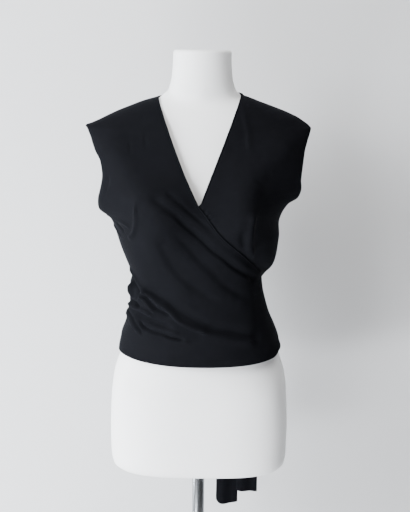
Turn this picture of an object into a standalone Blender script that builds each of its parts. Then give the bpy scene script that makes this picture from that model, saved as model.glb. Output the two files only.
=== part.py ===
"""Wrap top on a dress form.

A sleeveless wrap top with a deep V neck hangs on a smooth limbless dress form, which stands on a
pole with a round base. Metres, +Z up. The origin is the centre of the base's underside; -Y is the
wearer's front and -X the wearer's right side.

Every cloth piece lies on one plain surface round the body, garment_surface. A place on it is given
by its turn in degrees (0 at the wearer's right side, 90 front centre, 180 left side, 270 back
centre) and its height. Folds and layers move a piece outwards from that surface.
"""

import math
from collections import namedtuple

import bpy
import numpy as np

# ---------------------------------------------------------------- driving dimensions

CLOTH = 0.0012              # wall of every cloth piece
LAYER_STEP = 0.0022         # from one layer's inner face to the next one's
SEAM_GAP = 0.0004           # between two pieces that are sewn together
TOUCH_GAP = 0.0003          # between two pieces that rest on each other

HEM_HEIGHT = 0.8635         # hem at the side seams
HEM_DIP = 0.0085            # how far the hem hangs lower at the front and back centre
CROSSING = 1.160            # height of the V's foot, where the fronts cross

RIGHT_UNDERARM = 1.149
LEFT_UNDERARM = 1.176
RIGHT_TIP = 1.3090          # outer end of the shoulder seam, wearer's right
LEFT_TIP = 1.3090
ARMHOLE_FRONT = 0.046       # how far the armhole's edge lies before and behind the side line
ARMHOLE_BACK = 0.056
RIGHT_NECK_POINT = 0.0850   # inner end of each shoulder seam, from the centre line
LEFT_NECK_POINT = 0.0745
BACK_NECK_HEIGHT = 1.388    # middle of the back neckline

FORM_BOTTOM = 0.610
POLE_RADIUS = 0.0125
BASE_RADIUS = 0.170
BASE_THICKNESS = 0.010
COLLAR_RADIUS = 0.022
COLLAR_HEIGHT = 0.045
FLANGE_RADIUS = 0.045
FLANGE_THICKNESS = 0.005
FORM_SIDES = 36

# ---------------------------------------------------------------- shape tables

# Level sections of the cloth's plain inner surface. left and right are the half widths on the
# viewer's left (wearer's right) and right; side, front and back are y of the side line and of
# the front and back centre; power is 2 for an ellipse, less for a pointed side.
Cut = namedtuple("Cut", "z left right side front back power")
GARMENT = [
    Cut(0.850, 0.1650, 0.1660, 0.000, -0.119, 0.127, 2.1),
    Cut(0.864, 0.1633, 0.1635, 0.000, -0.118, 0.126, 2.1),
    Cut(0.888, 0.1575, 0.1550, 0.000, -0.115, 0.121, 2.1),
    Cut(0.914, 0.1480, 0.1440, 0.000, -0.111, 0.114, 2.1),
    Cut(0.940, 0.1415, 0.1330, 0.000, -0.106, 0.106, 2.1),
    Cut(0.965, 0.1375, 0.1260, 0.000, -0.101, 0.099, 2.1),
    Cut(0.990, 0.1375, 0.1200, 0.000, -0.097, 0.094, 2.1),
    Cut(1.014, 0.1355, 0.1195, 0.001, -0.096, 0.091, 2.1),
    Cut(1.030, 0.1405, 0.1240, 0.002, -0.098, 0.091, 2.1),
    Cut(1.052, 0.1475, 0.1320, 0.003, -0.101, 0.095, 2.1),
    Cut(1.077, 0.1570, 0.1410, 0.004, -0.105, 0.101, 2.1),
    Cut(1.102, 0.1655, 0.1500, 0.006, -0.109, 0.108, 2.1),
    Cut(1.126, 0.1730, 0.1550, 0.008, -0.111, 0.114, 2.1),
    Cut(1.152, 0.1790, 0.1620, 0.010, -0.110, 0.119, 2.1),
    Cut(1.176, 0.1840, 0.1740, 0.010, -0.107, 0.122, 2.05),
    Cut(1.200, 0.1880, 0.1860, 0.011, -0.102, 0.123, 2.0),
    Cut(1.224, 0.1915, 0.1930, 0.012, -0.096, 0.123, 2.0),
    Cut(1.248, 0.1950, 0.1955, 0.013, -0.090, 0.120, 2.0),
    Cut(1.270, 0.2065, 0.1985, 0.014, -0.083, 0.115, 2.0),
    Cut(1.294, 0.2165, 0.2060, 0.014, -0.075, 0.107, 2.0),
    Cut(1.309, 0.2240, 0.2125, 0.014, -0.068, 0.101, 2.0),
    Cut(1.313, 0.2150, 0.2090, 0.014, -0.066, 0.099, 2.0),
    Cut(1.327, 0.1895, 0.1920, 0.014, -0.060, 0.093, 2.0),
    Cut(1.339, 0.1640, 0.1680, 0.014, -0.054, 0.087, 2.0),
    Cut(1.351, 0.1370, 0.1380, 0.014, -0.046, 0.080, 2.0),
    Cut(1.362, 0.1080, 0.1080, 0.014, -0.037, 0.075, 2.0),
    Cut(1.369, 0.0850, 0.0850, 0.014, -0.025, 0.071, 2.0),
    Cut(1.374, 0.0745, 0.0745, 0.014, -0.016, 0.070, 2.0),
    Cut(1.392, 0.0700, 0.0700, 0.014, 0.000, 0.063, 2.0),
]

# The cloth's point at each underarm, where it stands out along the side line.
Flare = namedtuple("Flare", "z left right")
FLARE = [
    Flare(1.115, 0.0000, 0.0000),
    Flare(1.128, 0.0035, 0.0000),
    Flare(1.138, 0.0095, 0.0000),
    Flare(1.149, 0.0255, 0.0005),
    Flare(1.164, 0.0220, 0.0045),
    Flare(1.176, 0.0175, 0.0180),
    Flare(1.188, 0.0120, 0.0150),
    Flare(1.200, 0.0070, 0.0095),
    Flare(1.215, 0.0020, 0.0020),
    Flare(1.230, 0.0000, 0.0000),
]
FLARE_SPREAD = 20.0         # degrees of turn to each side of the side line

# The same for the dress form, whose halves are alike.
FORM = [
    Cut(0.610, 0.1500, 0.1500, 0.002, -0.078, 0.084, 2.2),
    Cut(0.612, 0.1640, 0.1640, 0.002, -0.087, 0.093, 2.2),
    Cut(0.619, 0.1760, 0.1760, 0.002, -0.094, 0.100, 2.2),
    Cut(0.632, 0.1810, 0.1810, 0.002, -0.098, 0.103, 2.2),
    Cut(0.655, 0.1830, 0.1830, 0.002, -0.100, 0.105, 2.2),
    Cut(0.690, 0.1835, 0.1835, 0.002, -0.102, 0.109, 2.2),
    Cut(0.742, 0.1820, 0.1820, 0.002, -0.105, 0.116, 2.2),
    Cut(0.805, 0.1765, 0.1765, 0.001, -0.107, 0.121, 2.2),
    Cut(0.865, 0.1570, 0.1570, 0.000, -0.106, 0.115, 2.2),
    Cut(0.900, 0.1420, 0.1420, 0.000, -0.101, 0.105, 2.15),
    Cut(0.935, 0.1290, 0.1290, 0.000, -0.095, 0.095, 2.1),
    Cut(0.975, 0.1180, 0.1180, 0.000, -0.090, 0.086, 2.1),
    Cut(1.010, 0.1130, 0.1130, 0.000, -0.087, 0.081, 2.1),
    Cut(1.060, 0.1250, 0.1250, 0.002, -0.090, 0.088, 2.1),
    Cut(1.100, 0.1370, 0.1370, 0.004, -0.095, 0.099, 2.1),
    Cut(1.140, 0.1470, 0.1470, 0.007, -0.097, 0.109, 2.1),
    Cut(1.175, 0.1580, 0.1580, 0.010, -0.095, 0.115, 2.1),
    Cut(1.210, 0.1760, 0.1760, 0.012, -0.089, 0.117, 2.05),
    Cut(1.250, 0.1850, 0.1850, 0.014, -0.079, 0.113, 2.0),
    Cut(1.290, 0.1840, 0.1840, 0.014, -0.066, 0.101, 2.0),
    Cut(1.314, 0.1780, 0.1780, 0.014, -0.057, 0.092, 2.0),
    Cut(1.328, 0.1720, 0.1720, 0.014, -0.053, 0.087, 2.0),
    Cut(1.340, 0.1560, 0.1560, 0.014, -0.048, 0.082, 2.0),
    Cut(1.352, 0.1270, 0.1270, 0.014, -0.042, 0.076, 2.0),
    Cut(1.362, 0.0890, 0.0890, 0.013, -0.040, 0.069, 2.0),
    Cut(1.372, 0.0690, 0.0690, 0.010, -0.043, 0.063, 2.0),
    Cut(1.388, 0.0620, 0.0620, 0.006, -0.050, 0.058, 2.0),
    Cut(1.410, 0.0590, 0.0590, 0.001, -0.055, 0.053, 2.0),
    Cut(1.440, 0.0565, 0.0565, -0.003, -0.059, 0.049, 2.0),
    Cut(1.456, 0.0560, 0.0560, -0.005, -0.061, 0.047, 2.0),
    Cut(1.460, 0.0530, 0.0530, -0.005, -0.058, 0.044, 2.0),
]

# The bust: two soft rises of the front.
BUST_X = 0.083
BUST_Z = 1.148
FORM_BUST = (0.036, 0.046, 0.055)       # rise, spread across, spread up and down
GARMENT_BUST = (0.034, 0.056, 0.066)

# The free edge of each front, from its tie up to the V. row runs from 0 at the hem to 1 at the
# shoulder seam; seam is the height of that row at the front's own side seam, and turn, measured
# from that seam, and z place its other end. Rows run along the hem below the row HEM_ROWS, and
# above the crossing they close up towards the shoulder seam by the power CLIMB.
Edge = namedtuple("Edge", "row seam turn z")
RIGHT_EDGE = [
    Edge(0.00, HEM_HEIGHT, 207, 0.928),
    Edge(0.24, 0.968, 207, 0.966),
    Edge(0.31, 0.998, 197, 0.992),
    Edge(0.36, 1.022, 181, 1.012),
    Edge(0.41, 1.049, 160, 1.027),
    Edge(0.46, 1.075, 138, 1.053),
    Edge(0.51, 1.100, 121, 1.083),
    Edge(0.57, 1.128, 105, 1.120),
    Edge(0.62, RIGHT_UNDERARM, 90, CROSSING),
]
LEFT_EDGE = [
    Edge(0.00, HEM_HEIGHT + 0.004, 163, 0.912),
    Edge(0.28, 0.984, 163, 0.968),
    Edge(0.36, 1.022, 157, 0.994),
    Edge(0.43, 1.060, 144, 1.030),
    Edge(0.50, 1.104, 125, 1.080),
    Edge(0.56, 1.142, 107, 1.128),
    Edge(0.62, LEFT_UNDERARM, 90, CROSSING + 0.015),
]
HEM_ROWS = 0.30
CLIMB = 1.35

# Where the rows of each panel's grid lie: (from, to, count) for each stretch, climbing.
RIGHT_ROWS = [(0.0, 0.24, 7), (0.24, 0.36, 6), (0.36, 0.62, 8), (0.62, 1.0, 10)]
LEFT_ROWS = [(0.0, 0.28, 3), (0.28, 0.62, 14), (0.62, 1.0, 10)]
BACK_ROWS = [(0.0, 0.26, 6), (0.26, 0.38, 7), (0.38, 0.62, 5), (0.62, 1.0, 10)]

# Folds drawn across the right front by the tie, as seen from the front: each runs from (x1, z1)
# to (x2, z2) and bows by bow to its lower left; width is half its width; height is negative for
# a trough and positive for a ridge.
Fold = namedtuple("Fold", "x1 z1 x2 z2 bow width height")
RIGHT_FOLDS = [
    Fold(-0.098, 1.218, 0.108, 1.006, 0.009, 0.0075, -0.0048),
    Fold(-0.072, 1.207, 0.028, 1.117, 0.001, 0.0070, -0.0030),
    Fold(-0.073, 1.118, 0.004, 0.984, 0.010, 0.0120, -0.0030),
    Fold(-0.031, 1.124, 0.101, 0.961, 0.002, 0.0110, -0.0034),
    Fold(-0.104, 0.996, 0.104, 0.906, 0.009, 0.0115, -0.0046),
    Fold(-0.118, 0.994, 0.004, 0.926, 0.002, 0.0065, 0.0040),
    Fold(-0.140, 0.945, -0.012, 0.898, 0.004, 0.0070, -0.0040),
    Fold(-0.186, 1.139, -0.128, 1.112, 0.000, 0.0060, 0.0030),
    Fold(-0.127, 1.176, -0.135, 1.104, 0.000, 0.0060, 0.0025),
]
FULLNESS = 0.0048           # how far the right front stands off where it is drawn into folds
BELLY = 0.0170              # how far the cloth bellies out over the tie at the left side
BELLY_REACH = 0.024         # from the belly's foot up to its fullest line
BELLY_FOOT = 0.009          # height of that foot above the wrap edge

# Where these begin, are full, stop being full and end: heights in metres, turns in degrees.
DRAWN_HEIGHT = (0.870, 0.915, 1.190, 1.250)
DRAWN_TURN = (10.0, 45.0, 150.0, 190.0)
BELLY_TURN = (112.0, 172.0, 184.0, 224.0)
TIE_UNDER = (0.880, 0.905, 1.010, 1.035)        # the left tie lies under the right front
TIE_SLIT = (0.905, 0.935, 0.998, 1.022)         # and comes out of the side seam

# The left tie comes out through a slit in the right side seam and crosses the back. low and high
# are a tie's two edges; turn is measured as on the front that the tie belongs to.
Band = namedtuple("Band", "turn low high")
LEFT_TIE = [
    Band(163.3, 0.912, 0.968),
    Band(171.0, 0.934, 0.984),
    Band(180.0, 0.944, 0.992),
    Band(215.0, 0.936, 0.982),
    Band(280.0, 0.931, 0.977),
    Band(309.8, 0.939, 0.969),
]
RIGHT_TIE = [
    Band(207.3, 0.928, 0.966),
    Band(216.0, 0.934, 0.972),
    Band(229.8, 0.939, 0.969),
]
TIE_WAVE = 0.0018           # height of the soft folds along a tie
KNOT_TURN = 230.0
KNOT_HEIGHT = 0.954
KNOT_SIZE = (0.0185, 0.0110, 0.0190)    # half its width, depth and height

# The tails: x of the middle and the width at the lower end, the y that a tail hangs at, height of
# its end, and how far its narrow top lies to the left or right of the knot's middle.
Tail = namedtuple("Tail", "name x width y end start")
TAILS = [
    Tail("tie_tail_right", 0.0640, 0.0470, 0.1240, 0.453, -0.0104),
    Tail("tie_tail_left", 0.1105, 0.0440, 0.1100, 0.473, 0.0104),
]
TAIL_NECK = 0.020           # width of a tail where it leaves the knot
TAIL_WAVE = 0.0016

# ---------------------------------------------------------------- helpers


def ramp(value, low, high):
    """0 below low, 1 above high and a smooth S between them."""
    share = np.clip((np.asarray(value, dtype=float) - low) / (high - low), 0.0, 1.0)
    return share * share * (3.0 - 2.0 * share)


def window(value, reach):
    """0 outside reach and 1 inside it; reach is (begins, full from, full to, ends)."""
    return ramp(value, *reach[:2]) * (1.0 - ramp(value, *reach[2:]))


def smooth_rows(rows, at):
    """Each later column of a table, read smoothly at values of its first column."""
    table = np.array(rows, dtype=float)
    place = table[:, 0]
    at = np.clip(np.asarray(at, dtype=float), place[0], place[-1])
    step = np.diff(place)
    index = np.clip(np.searchsorted(place, at, side="right") - 1, 0, len(step) - 1)
    share = (at - place[index]) / step[index]
    columns = []
    for values in table[:, 1:].T:
        slope = np.diff(values) / step
        middle = np.zeros(len(values))
        flat = slope[:-1] * slope[1:] <= 0.0
        total = slope[:-1] + slope[1:]
        middle[1:-1] = np.where(flat, 0.0, 2.0 * slope[:-1] * slope[1:] / np.where(flat, 1.0, total))
        middle[0], middle[-1] = slope[0], slope[-1]
        low, high = values[index], values[index + 1]
        rise, fall = middle[index] * step[index], middle[index + 1] * step[index]
        columns.append(
            low * (1 + 2 * share) * (1 - share) ** 2
            + rise * share * (1 - share) ** 2
            + high * share ** 2 * (3 - 2 * share)
            - fall * share ** 2 * (1 - share)
        )
    return columns


def spread(stretches):
    """Places along a grid, from (from, to, count) for each stretch."""
    places = [np.linspace(low, high, count, endpoint=False) for low, high, count in stretches]
    return np.append(np.concatenate(places), stretches[-1][1])


def material(name, colour, roughness, metallic=0.0):
    """A plain Principled finish."""
    made = bpy.data.materials.new(name)
    made.use_nodes = True
    shader = made.node_tree.nodes["Principled BSDF"]
    shader.inputs["Base Color"].default_value = (*colour, 1.0)
    shader.inputs["Roughness"].default_value = roughness
    shader.inputs["Metallic"].default_value = metallic
    made.diffuse_color = (*colour, 1.0)
    return made


def add_object(name, points, faces, finish):
    """A smooth shaded mesh object."""
    mesh = bpy.data.meshes.new(name)
    mesh.from_pydata([tuple(point) for point in points], [], faces)
    mesh.validate()
    mesh.shade_smooth()
    mesh.materials.append(finish)
    made = bpy.data.objects.new(name, mesh)
    bpy.context.scene.collection.objects.link(made)
    return made


def grid_faces(rows, columns, closed=False):
    """Quads of a grid whose points run along each row; closed joins a row's ends."""
    faces = []
    for row in range(rows - 1):
        for column in range(columns if closed else columns - 1):
            after = (column + 1) % columns
            low, high = row * columns, (row + 1) * columns
            faces.append((low + column, low + after, high + after, high + column))
    return faces


def cloth(name, points, finish, thickness=CLOTH):
    """A cloth wall whose inner face is the grid of points; its rows run so that it faces out."""
    rows, columns = points.shape[:2]
    made = add_object(name, points.reshape(-1, 3), grid_faces(rows, columns), finish)
    wall = made.modifiers.new("wall", "SOLIDIFY")
    wall.thickness = thickness
    wall.offset = 1.0
    wall.use_even_offset = False
    return made


# ---------------------------------------------------------------- the body surfaces


def bust(x, z, rise, across, upright):
    """How far the bust stands forward at x, z."""
    sides = sum(np.exp(-((x - side * BUST_X) / across) ** 2) for side in (-1.0, 1.0))
    return rise * sides * np.exp(-((z - BUST_Z) / upright) ** 2)


def round_section(cut, turn, edge_front=0.0, edge_back=0.0):
    """x and y on a level section, with the front and back edges held off the side line."""
    left, right, side, front, back, power = cut
    across, forward = np.cos(np.radians(turn)), np.sin(np.radians(turn))
    half = np.where(across > 0, left, right)
    x = -np.sign(across) * half * np.abs(across) ** (2.0 / power)
    depth = np.abs(forward) ** (2.0 / power)
    y_front = (side - edge_front) + (front - side + edge_front) * depth
    y_back = (side + edge_back) + (back - side - edge_back) * depth
    return x, np.where(forward >= 0, y_front, y_back)


def armhole_reach(turn, z):
    """How far the armhole's front and back edges lie off the side line at this height."""
    on_right = np.cos(np.radians(turn)) > 0
    low = np.where(on_right, RIGHT_UNDERARM, LEFT_UNDERARM)
    high = np.where(on_right, RIGHT_TIP, LEFT_TIP)
    share = np.clip((z - low) / (high - low), 0.0, 1.0)
    swell = np.sin(np.pi * share) ** 0.7
    return ARMHOLE_FRONT * swell, ARMHOLE_BACK * swell


def garment_surface(turn, z):
    """Points of the plain surface that the cloth lies on."""
    turn, z = np.broadcast_arrays(np.asarray(turn, dtype=float), np.asarray(z, dtype=float))
    front_edge, back_edge = armhole_reach(turn, z)
    x, y = round_section(smooth_rows(GARMENT, z), turn, front_edge, back_edge)
    forward = np.sin(np.radians(turn))
    y = y - bust(x, z, *GARMENT_BUST) * ramp(forward, 0.0, 0.5)
    flare_left, flare_right = smooth_rows(FLARE, z)
    from_left = np.minimum(turn, 360.0 - turn)
    x = x - flare_left * np.exp(-((from_left / FLARE_SPREAD) ** 2))
    x = x + flare_right * np.exp(-(((turn - 180.0) / FLARE_SPREAD) ** 2))
    return np.stack([x, y, z], axis=-1)


def outward(turn, z):
    """Level unit directions straight out of the garment's surface."""
    step = 0.5
    ahead = garment_surface(np.mod(turn + step, 360.0), z)
    before = garment_surface(np.mod(turn - step, 360.0), z)
    along = (ahead - before)[..., :2]
    along = along / np.linalg.norm(along, axis=-1, keepdims=True)
    return np.stack([along[..., 1], -along[..., 0], np.zeros(along.shape[:-1])], axis=-1)


def belly(turn, z):
    """How far the cloth bellies out above the wrap edge and the tie, round the left side."""
    wrap_edge = [(edge.turn, edge.z) for edge in RIGHT_EDGE[2:]][::-1]
    foot = smooth_rows(wrap_edge, turn)[0] + BELLY_FOOT
    above = np.clip((z - foot) / BELLY_REACH, 0.0, None)
    full = window(turn, BELLY_TURN) * (1.0 - ramp(z, BUST_Z - 0.048, BUST_Z))
    return BELLY * above * np.exp(1.0 - above) * full


def turn_at(x, z, behind=False):
    """The turn at which the garment's surface has this x."""
    left, right, *_, power = smooth_rows(GARMENT, z)
    share = np.clip(np.abs(x) / np.where(x < 0, left, right), 0.0, 1.0)
    angle = np.degrees(np.arccos(share ** (power / 2.0)))
    turn = np.where(x < 0, angle, 180.0 - angle)
    return np.clip(360.0 - turn, 180.001, 359.999) if behind else turn


def seam_height(x):
    """Height of the shoulder seam at x, read back from the garment's sections."""
    rows = [cut for cut in GARMENT if cut.z >= LEFT_TIP]
    heights = np.linspace(LEFT_TIP, rows[-1].z, 200)
    left, right = smooth_rows(GARMENT, heights)[:2]
    return np.where(x < 0, np.interp(-np.abs(x), -left, heights), np.interp(-np.abs(x), -right, heights))


# ---------------------------------------------------------------- the fronts


def front_grid(edges, tip, neck_point, row, columns, mirrored):
    """Turns and heights of a front, from its own side seam (first column) to its free edge.

    Rows climb from the hem to the shoulder seam. Up to the crossing the free edge is the wrap
    edge, above it the neckline. mirrored gives the wearer's left front.
    """
    crossing = edges[-1]
    column = np.linspace(0.0, 1.0, columns)[None, :]
    seam, edge_turn, edge_z = smooth_rows(edges, np.minimum(row, crossing.row))
    climb = np.clip((row - crossing.row) / (1.0 - crossing.row), 0.0, 1.0)
    climb = 1.0 - (1.0 - climb) ** CLIMB

    # up to the crossing a row goes evenly round the body
    turn = column * edge_turn[:, None]
    share = column ** 1.1
    z = seam[:, None] * (1 - share) + edge_z[:, None] * share
    low = 1.0 - ramp(row, 0.0, HEM_ROWS)[:, None]
    level = edges[0].seam - HEM_DIP * np.sin(np.radians(np.minimum(turn, 180.0)))
    rise = ramp(turn, 60.0 if mirrored else 150.0, edge_turn[0])
    hem = level * (1 - rise) + edges[0].z * rise
    straight = edges[0].seam * (1 - share) + edges[0].z * share
    z = z + (hem - straight) * low

    # above it a row goes from the armhole to the neckline
    side = 1.0 if mirrored else -1.0
    arm_z = crossing.seam + (tip - crossing.seam) * climb
    left, right = smooth_rows(GARMENT, arm_z)[:2]
    arm_x = right if mirrored else left
    neck_x = neck_point * climb ** (1.0 if mirrored else 0.9)
    neck_z = crossing.z + (seam_height(side * neck_point) - crossing.z) * climb
    rounded = 1.0 - np.cos(0.5 * np.pi * column)
    mix = ramp(climb, 0.0, 0.8)[:, None]
    place = rounded * (1 - mix) + column * mix
    x = arm_x[:, None] + (neck_x - arm_x)[:, None] * place
    upper_z = arm_z[:, None] + (neck_z - arm_z)[:, None] * place
    top = seam_height(side * x)
    on_seam = ramp(climb, 0.55, 1.0)[:, None]
    chord = arm_z[-1] + (neck_z[-1] - arm_z[-1]) * place
    upper_z = upper_z + (seam_height(side * x[-1])[None, :] - chord) * on_seam * climb[:, None]
    upper_z = np.minimum(upper_z, top)
    upper_turn = turn_at(side * x, upper_z)
    if mirrored:
        upper_turn = 180.0 - upper_turn

    above = (row > crossing.row)[:, None]
    turn = np.where(above, upper_turn, turn)
    z = np.where(above, upper_z, z)
    return (180.0 - turn if mirrored else turn), z


def fold_height(folds, x, z):
    """Sum of the folds at x, z: each is a soft bell across its bowed line, faded at its ends."""
    total = np.zeros_like(x)
    for fold in folds:
        dx, dz = fold.x2 - fold.x1, fold.z2 - fold.z1
        length = math.hypot(dx, dz)
        along = ((x - fold.x1) * dx + (z - fold.z1) * dz) / length ** 2
        off = ((z - fold.z1) * dx - (x - fold.x1) * dz) / length
        off = off + fold.bow * 4.0 * along * (1.0 - along)
        ends = ramp(along, -0.08, 0.22) * (1.0 - ramp(along, 0.78, 1.08))
        total += fold.height * np.exp(-(off / fold.width) ** 2) * ends
    return total


def part_seams(points, way):
    """Hold a panel's side and shoulder edges half a seam gap off the side line."""
    points[:, 0, 1] += way * SEAM_GAP / 2
    points[-1, 1:, 1] += way * SEAM_GAP / 2
    return points


def make_right_front(finish):
    """The outer wrap: over the left front, round the left side, to its tie behind."""
    turn, z = front_grid(RIGHT_EDGE, RIGHT_TIP, RIGHT_NECK_POINT, spread(RIGHT_ROWS), 43, False)
    points = garment_surface(turn, z)
    over_layer = np.maximum(ramp(turn, 1.0, 14.0), window(z, TIE_UNDER))
    over_layer *= 1.0 - ramp(z, CROSSING + 0.015, CROSSING + 0.065)
    over_layer *= 1.0 + 0.3 * ramp(turn, 165.0, 182.0)
    drawn = window(turn, DRAWN_TURN) * window(z, DRAWN_HEIGHT)
    folds = np.maximum(FULLNESS * drawn + fold_height(RIGHT_FOLDS, points[..., 0], z), 0.0)
    lift = LAYER_STEP * over_layer + folds * ramp(turn, 4.0, 20.0)
    at_slit = window(z, TIE_SLIT) * (1.0 - ramp(turn, 8.0, 20.0))
    lift = np.maximum(lift, 2.0 * LAYER_STEP * at_slit)
    points = points + outward(turn, z) * lift[..., None]
    return cloth("right_front", part_seams(points, -1.0), finish)


def make_left_front(finish):
    """The inner wrap: shows from the left shoulder to the wrap edge and bellies over it."""
    turn, z = front_grid(LEFT_EDGE, LEFT_TIP, LEFT_NECK_POINT, spread(LEFT_ROWS), 27, True)
    points = garment_surface(turn, z) + outward(turn, z) * belly(turn, z)[..., None]
    return cloth("left_front", part_seams(points, -1.0)[:, ::-1], finish)


# ---------------------------------------------------------------- the back and the ties


def make_back(finish):
    """One piece from the hem to the shoulder seams and the back neckline."""
    row = spread(BACK_ROWS)
    column = np.linspace(0.0, 1.0, 31)[None, :]
    underarm = BACK_ROWS[-1][0]
    climb = np.clip((row - underarm) / (1.0 - underarm), 0.0, 1.0)
    climb = 1.0 - (1.0 - climb) ** CLIMB
    below = np.minimum(row / underarm, 1.0)
    left_z = HEM_HEIGHT + (RIGHT_UNDERARM - HEM_HEIGHT) * below + (RIGHT_TIP - RIGHT_UNDERARM) * climb
    right_z = HEM_HEIGHT + (LEFT_UNDERARM - HEM_HEIGHT) * below + (LEFT_TIP - LEFT_UNDERARM) * climb
    left_x = smooth_rows(GARMENT, left_z)[0]
    right_x = smooth_rows(GARMENT, right_z)[1]

    mix = ramp(climb, 0.0, 0.9)[:, None]
    place = np.cos(np.pi * column) * (1 - mix) + (1.0 - 2.0 * column) * mix
    x = np.where(place > 0, -place * left_x[:, None], -place * right_x[:, None])
    top_x = x[-1]
    neck_point = np.where(top_x < 0, RIGHT_NECK_POINT, LEFT_NECK_POINT)
    neck_end = seam_height(np.sign(top_x) * neck_point)
    neck = BACK_NECK_HEIGHT - (BACK_NECK_HEIGHT - neck_end) * (top_x / neck_point) ** 2
    top = np.where(np.abs(top_x) < neck_point, neck, seam_height(top_x))
    side_z = left_z[:, None] * (1 - column) + right_z[:, None] * column
    hem = -HEM_DIP * np.sin(np.pi * column) * (1.0 - ramp(row, 0.0, 0.4))[:, None]
    z = side_z + (top - side_z[-1]) * (climb ** 1.2)[:, None] + hem
    z = np.where(np.abs(x) >= LEFT_NECK_POINT, np.minimum(z, seam_height(x)), z)
    turn = turn_at(x, z, behind=True)
    points = part_seams(garment_surface(turn, z) + outward(turn, z) * belly(turn, z)[..., None], 1.0)
    points[:, -1, 1] += SEAM_GAP / 2
    return cloth("back_panel", points[:, ::-1], finish)


def make_tie(name, bands, lift, columns, mirrored, finish):
    """A tie lying round the body between its two edges, with two soft lengthwise folds."""
    across = np.linspace(0.0, 1.0, 7)[:, None]
    turn = np.linspace(bands[0].turn, bands[-1].turn, columns)[None, :] + np.zeros_like(across)
    low, high = smooth_rows(bands, turn)
    z = low + (high - low) * across
    free = ramp(turn - bands[0].turn, 18.0, 36.0) * ramp(bands[-1].turn - turn, 8.0, 50.0)
    waves = TIE_WAVE * np.sin(2.0 * np.pi * across) ** 2 * free
    body_turn = np.mod(180.0 - turn, 360.0) if mirrored else turn
    points = garment_surface(body_turn, z) + outward(body_turn, z) * (lift(turn) + waves)[..., None]
    return cloth(name, points[:, ::-1] if mirrored else points, finish)


def knot_frame():
    """The knot's centre and the directions along the ties, out of the back and up."""
    here = garment_surface(KNOT_TURN, KNOT_HEIGHT)
    above = garment_surface(KNOT_TURN, KNOT_HEIGHT + 0.01)
    out = outward(np.array(KNOT_TURN), np.array(KNOT_HEIGHT))
    up = (above - here) / np.linalg.norm(above - here)
    along = np.cross(up, out)
    out = np.cross(along, up)
    rest = LAYER_STEP + CLOTH + 2.0 * TOUCH_GAP + KNOT_SIZE[1]
    return here + out * rest, along, out, up


def make_knot(finish):
    """A rounded block with full cheeks, where one tie goes once round the other."""
    centre, along, out, up = knot_frame()
    rings, sides = 10, 20               # up and down it, and round it
    tilt = np.linspace(-0.5 * np.pi, 0.5 * np.pi, rings + 1)[1:-1, None]
    angle = np.linspace(0.0, 2.0 * np.pi, sides, endpoint=False)[None, :]

    def full(value, power):
        return np.sign(value) * np.abs(value) ** power

    wide = full(np.cos(tilt), 0.7) * full(np.cos(angle), 0.8) * KNOT_SIZE[0]
    deep = full(np.cos(tilt), 0.7) * full(np.sin(angle), 0.8) * KNOT_SIZE[1]
    high = full(np.sin(tilt), 0.8) * KNOT_SIZE[2] * np.ones_like(angle)
    points = centre + wide[..., None] * along - deep[..., None] * out + high[..., None] * up
    ends = [centre - up * KNOT_SIZE[2], centre + up * KNOT_SIZE[2]]
    points = np.concatenate([points.reshape(-1, 3), ends])
    faces = grid_faces(rings - 1, sides, closed=True)
    low, top = len(points) - 2, len(points) - 1
    last_ring = (rings - 2) * sides
    for side in range(sides):
        after = (side + 1) % sides
        faces.append((low, after, side))
        faces.append((top, last_ring + side, last_ring + after))
    return add_object("tie_knot", points, faces, finish)


def make_tail(tail, finish):
    """A free end of a tie: narrow under the knot, then flat, down the back and off its hem."""
    centre, along, out, up = knot_frame()
    rows, columns = 20, 7
    top = centre - up * (KNOT_SIZE[2] + 3.0 * TOUCH_GAP)
    down = np.linspace(0.0, 1.0, rows)[:, None]
    across = np.linspace(-0.5, 0.5, columns)[None, :]
    z = top[2] + (tail.end - top[2]) * down + np.zeros_like(across)
    opened = ramp(down, 0.0, 0.45)
    width = TAIL_NECK + (tail.width - TAIL_NECK) * opened
    middle = top[0] + tail.start + (tail.x - top[0] - tail.start) * opened
    x = middle + width * across

    # it lies on the back as far as the hem and hangs straight down from there
    resting = np.maximum(z, HEM_HEIGHT - HEM_DIP)
    lying = garment_surface(turn_at(x, resting, behind=True), resting)[..., 1] + CLOTH + 3.0 * TOUCH_GAP
    hanging = 1.0 - ramp(z, HEM_HEIGHT, HEM_HEIGHT + 0.045)
    y = lying + np.maximum(tail.y - lying, 0.0) * hanging
    from_knot = np.maximum(top[1] - y[:1], 0.0) * (1.0 - ramp(down, 0.0, 0.10))
    wave = TAIL_WAVE * (1.0 + np.cos(3.0 * np.pi * across + 5.0 * down)) * opened
    y = y + from_knot + wave
    points = np.stack([x, y, z], axis=-1)
    return cloth(tail.name, points, finish)


# ---------------------------------------------------------------- the form and its stand


def make_form(finish):
    """Closed rings from the form's underside to the top of its neck, with flat ends."""
    heights = [cut.z for cut in FORM]
    turn = np.linspace(0.0, 360.0, FORM_SIDES, endpoint=False)[None, :]
    z = np.array(heights)[:, None] + np.zeros_like(turn)
    x, y = round_section(smooth_rows(FORM, z), turn)
    y = y - bust(x, z, *FORM_BUST) * ramp(np.sin(np.radians(turn)), 0.0, 0.5)
    points = np.stack([x, y, z], axis=-1).reshape(-1, 3)
    faces = grid_faces(len(heights), FORM_SIDES, closed=True)
    faces.append(tuple(range(FORM_SIDES))[::-1])
    faces.append(tuple(range(len(points) - FORM_SIDES, len(points))))
    return add_object("dress_form", points, faces, finish)


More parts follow.
